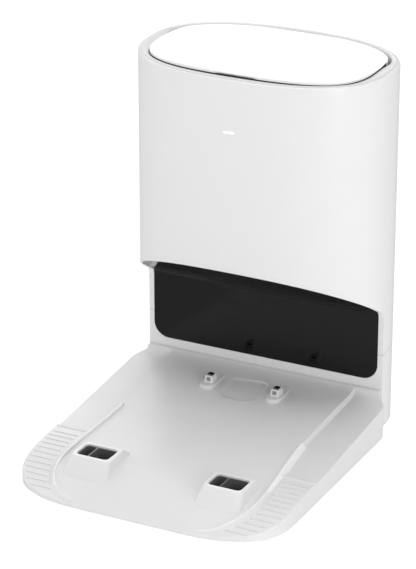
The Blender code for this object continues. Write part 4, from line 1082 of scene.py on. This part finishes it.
# ---------------------------------------------------------------- dust bag
bag_mesh = bpy.data.meshes.new("dust_bag_soft")
bm = bmesh.new()
bmesh.ops.create_cube(bm, size=1.0)
bmesh.ops.subdivide_edges(bm, edges=bm.edges[:], cuts=29, use_grid_fill=True)
bag_low = Vector((-0.0700, 0.0580, 0.2088))
bag_high = Vector((0.0800, 0.1670, 0.3760))
for v in bm.verts:
    u = Vector((v.co.x * 2, v.co.y * 2, v.co.z * 2))
    p = 6.0
    m = max(abs(u.x), abs(u.y), abs(u.z))
    norm = (abs(u.x) ** p + abs(u.y) ** p + abs(u.z) ** p) ** (1 / p)
    w = u * (m / norm) if norm else u
    # the sides of the bag pull in between its corners and the top sags
    pinch = 1 - 0.09 * (abs(w.x) ** 6) * (1 - abs(w.z) ** 2)
    sag = -0.075 * (1 - w.x * w.x) * (1 - w.y * w.y) * (1 if w.z > 0.2 else 0)
    # soft folds that run out from the welded seam, and the small crumples of paper
    fold = 0.030 * math.sin(7 * w.x + 2.0 * math.sin(3 * w.y)) * (1 - w.x ** 4) * abs(w.y)
    place = Vector((w.x * 2.1, w.y * 1.6, w.z * 2.3))
    crumple = 0.0
    for octave in range(3):
        crumple += (abs(noise.noise(place * 1.7 ** octave + Vector((3.1, 7.7, 1.3)))) - 0.2) / 1.5 ** octave
    w = Vector((w.x, w.y * pinch, w.z + sag + fold * (1 if w.z > 0 else 0.3)))
    w *= 0.975 - 0.055 * crumple
    if abs(u.y) < 0.01:
        w *= 1.030
    v.co = Vector([(bag_low[i] + bag_high[i]) / 2 + w[i] * (bag_high[i] - bag_low[i]) / 2 for i in range(3)])
bm.to_mesh(bag_mesh)
bm.free()
bag_mesh.materials.append(PAPER)
bag_mesh.shade_smooth()
bag = bpy.data.objects.new("dust_bag_soft", bag_mesh)
SCENE.collection.objects.link(bag)
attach(bag, "base")
bag_sub = bag.modifiers.new("soft", "SUBSURF")
bag_sub.levels = 1
bag_sub.render_levels = 1
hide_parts("dust_bag")
neck_mesh = Mesh()
neck = []
for k in range(9):
    t = k / 8
    neck_x = -0.0760 + 0.012 * t
    radius = 0.0183 + 0.004 * t * t
    neck.append([(neck_x, 0.135 + radius * math.cos(q), 0.315 + radius * math.sin(q))
                 for q in [2 * math.pi * n / 48 for n in range(48)]])
neck_mesh.grid(neck, closed=True)
neck_obj = neck_mesh.build("dust_bag_neck", PAPER)

# ---------------------------------------------------------------- floor, light, camera
floor_mesh = bpy.data.meshes.new("studio_floor")
floor_mesh.from_pydata([(-9, -9, 0), (9, -9, 0), (9, 9, 0), (-9, 9, 0)], [], [(0, 1, 2, 3)])
floor = bpy.data.objects.new("studio_floor", floor_mesh)
SCENE.collection.objects.link(floor)
floor_mat = material("floor_pale", (0.42, 0.42, 0.42), 0.95, tint=0.004, bump=0.0, emit=0.72)
floor_mesh.materials.append(floor_mat)
floor.visible_glossy = False

world = bpy.data.worlds.new("studio")
SCENE.world = world
world.use_nodes = True
sky = world.node_tree.nodes["Background"]
sky.inputs["Color"].default_value = (1.0, 1.0, 1.0, 1.0)
sky.inputs["Strength"].default_value = 0.52


def softbox(name, place, aim, size, power):
    data = bpy.data.lights.new(name, "AREA")
    data.shape = "RECTANGLE"
    data.size = size[0]
    data.size_y = size[1]
    data.energy = power
    obj = bpy.data.objects.new(name, data)
    obj.location = place
    obj.rotation_euler = (Vector(aim) - Vector(place)).to_track_quat("-Z", "Y").to_euler()
    SCENE.collection.objects.link(obj)
    return obj


softbox("top_light", (-0.1, 0.1, 2.4), (0.0, 0.0, 0.1), (1.6, 1.6), 22)
softbox("back_light", (-0.90, 1.90, 1.25), (0.0, 0.11, 0.41), (1.5, 1.2), 8)
softbox("side_light", (1.75, -1.55, 1.25), (0.05, -0.02, 0.15), (0.9, 0.9), 6)
softbox("left_light", (-2.30, -0.35, 0.90), (0.0, 0.1, 0.22), (0.9, 0.9), 9)
softbox("glint_light", (1.50, -1.12, 0.42), (0.1, 0.05, 0.22), (0.16, 0.9), 7)

SCENE.view_settings.view_transform = "Standard"
SCENE.view_settings.look = "None"
SCENE.view_settings.exposure = 0.0

AZ = math.radians(26.907)
EL = math.radians(22.8046)
cam_data = bpy.data.cameras.new("photo_camera")
cam = bpy.data.objects.new("photo_camera", cam_data)
SCENE.collection.objects.link(cam)
SENSOR = 36.0
# focal length and long side of the picture, both in pixels
FOCAL = 2643.854476
LONG_SIDE = 569.0
cam_data.lens = FOCAL * SENSOR / LONG_SIDE
cam_data.sensor_width = SENSOR
cam_data.sensor_fit = "AUTO"
cam_data.clip_end = 50.0
back_dir = Vector((math.sin(AZ) * math.cos(EL), -math.cos(AZ) * math.cos(EL), math.sin(EL)))
right_dir = Vector((math.cos(AZ), math.sin(AZ), 0.0))
up_dir = back_dir.cross(right_dir)
turn_m = Matrix((right_dir, up_dir, back_dir)).transposed()
cam.rotation_mode = "QUATERNION"
cam.rotation_quaternion = turn_m.to_quaternion()
cam.location = (1.149421, -2.292561, 1.263870)
SCENE.camera = cam
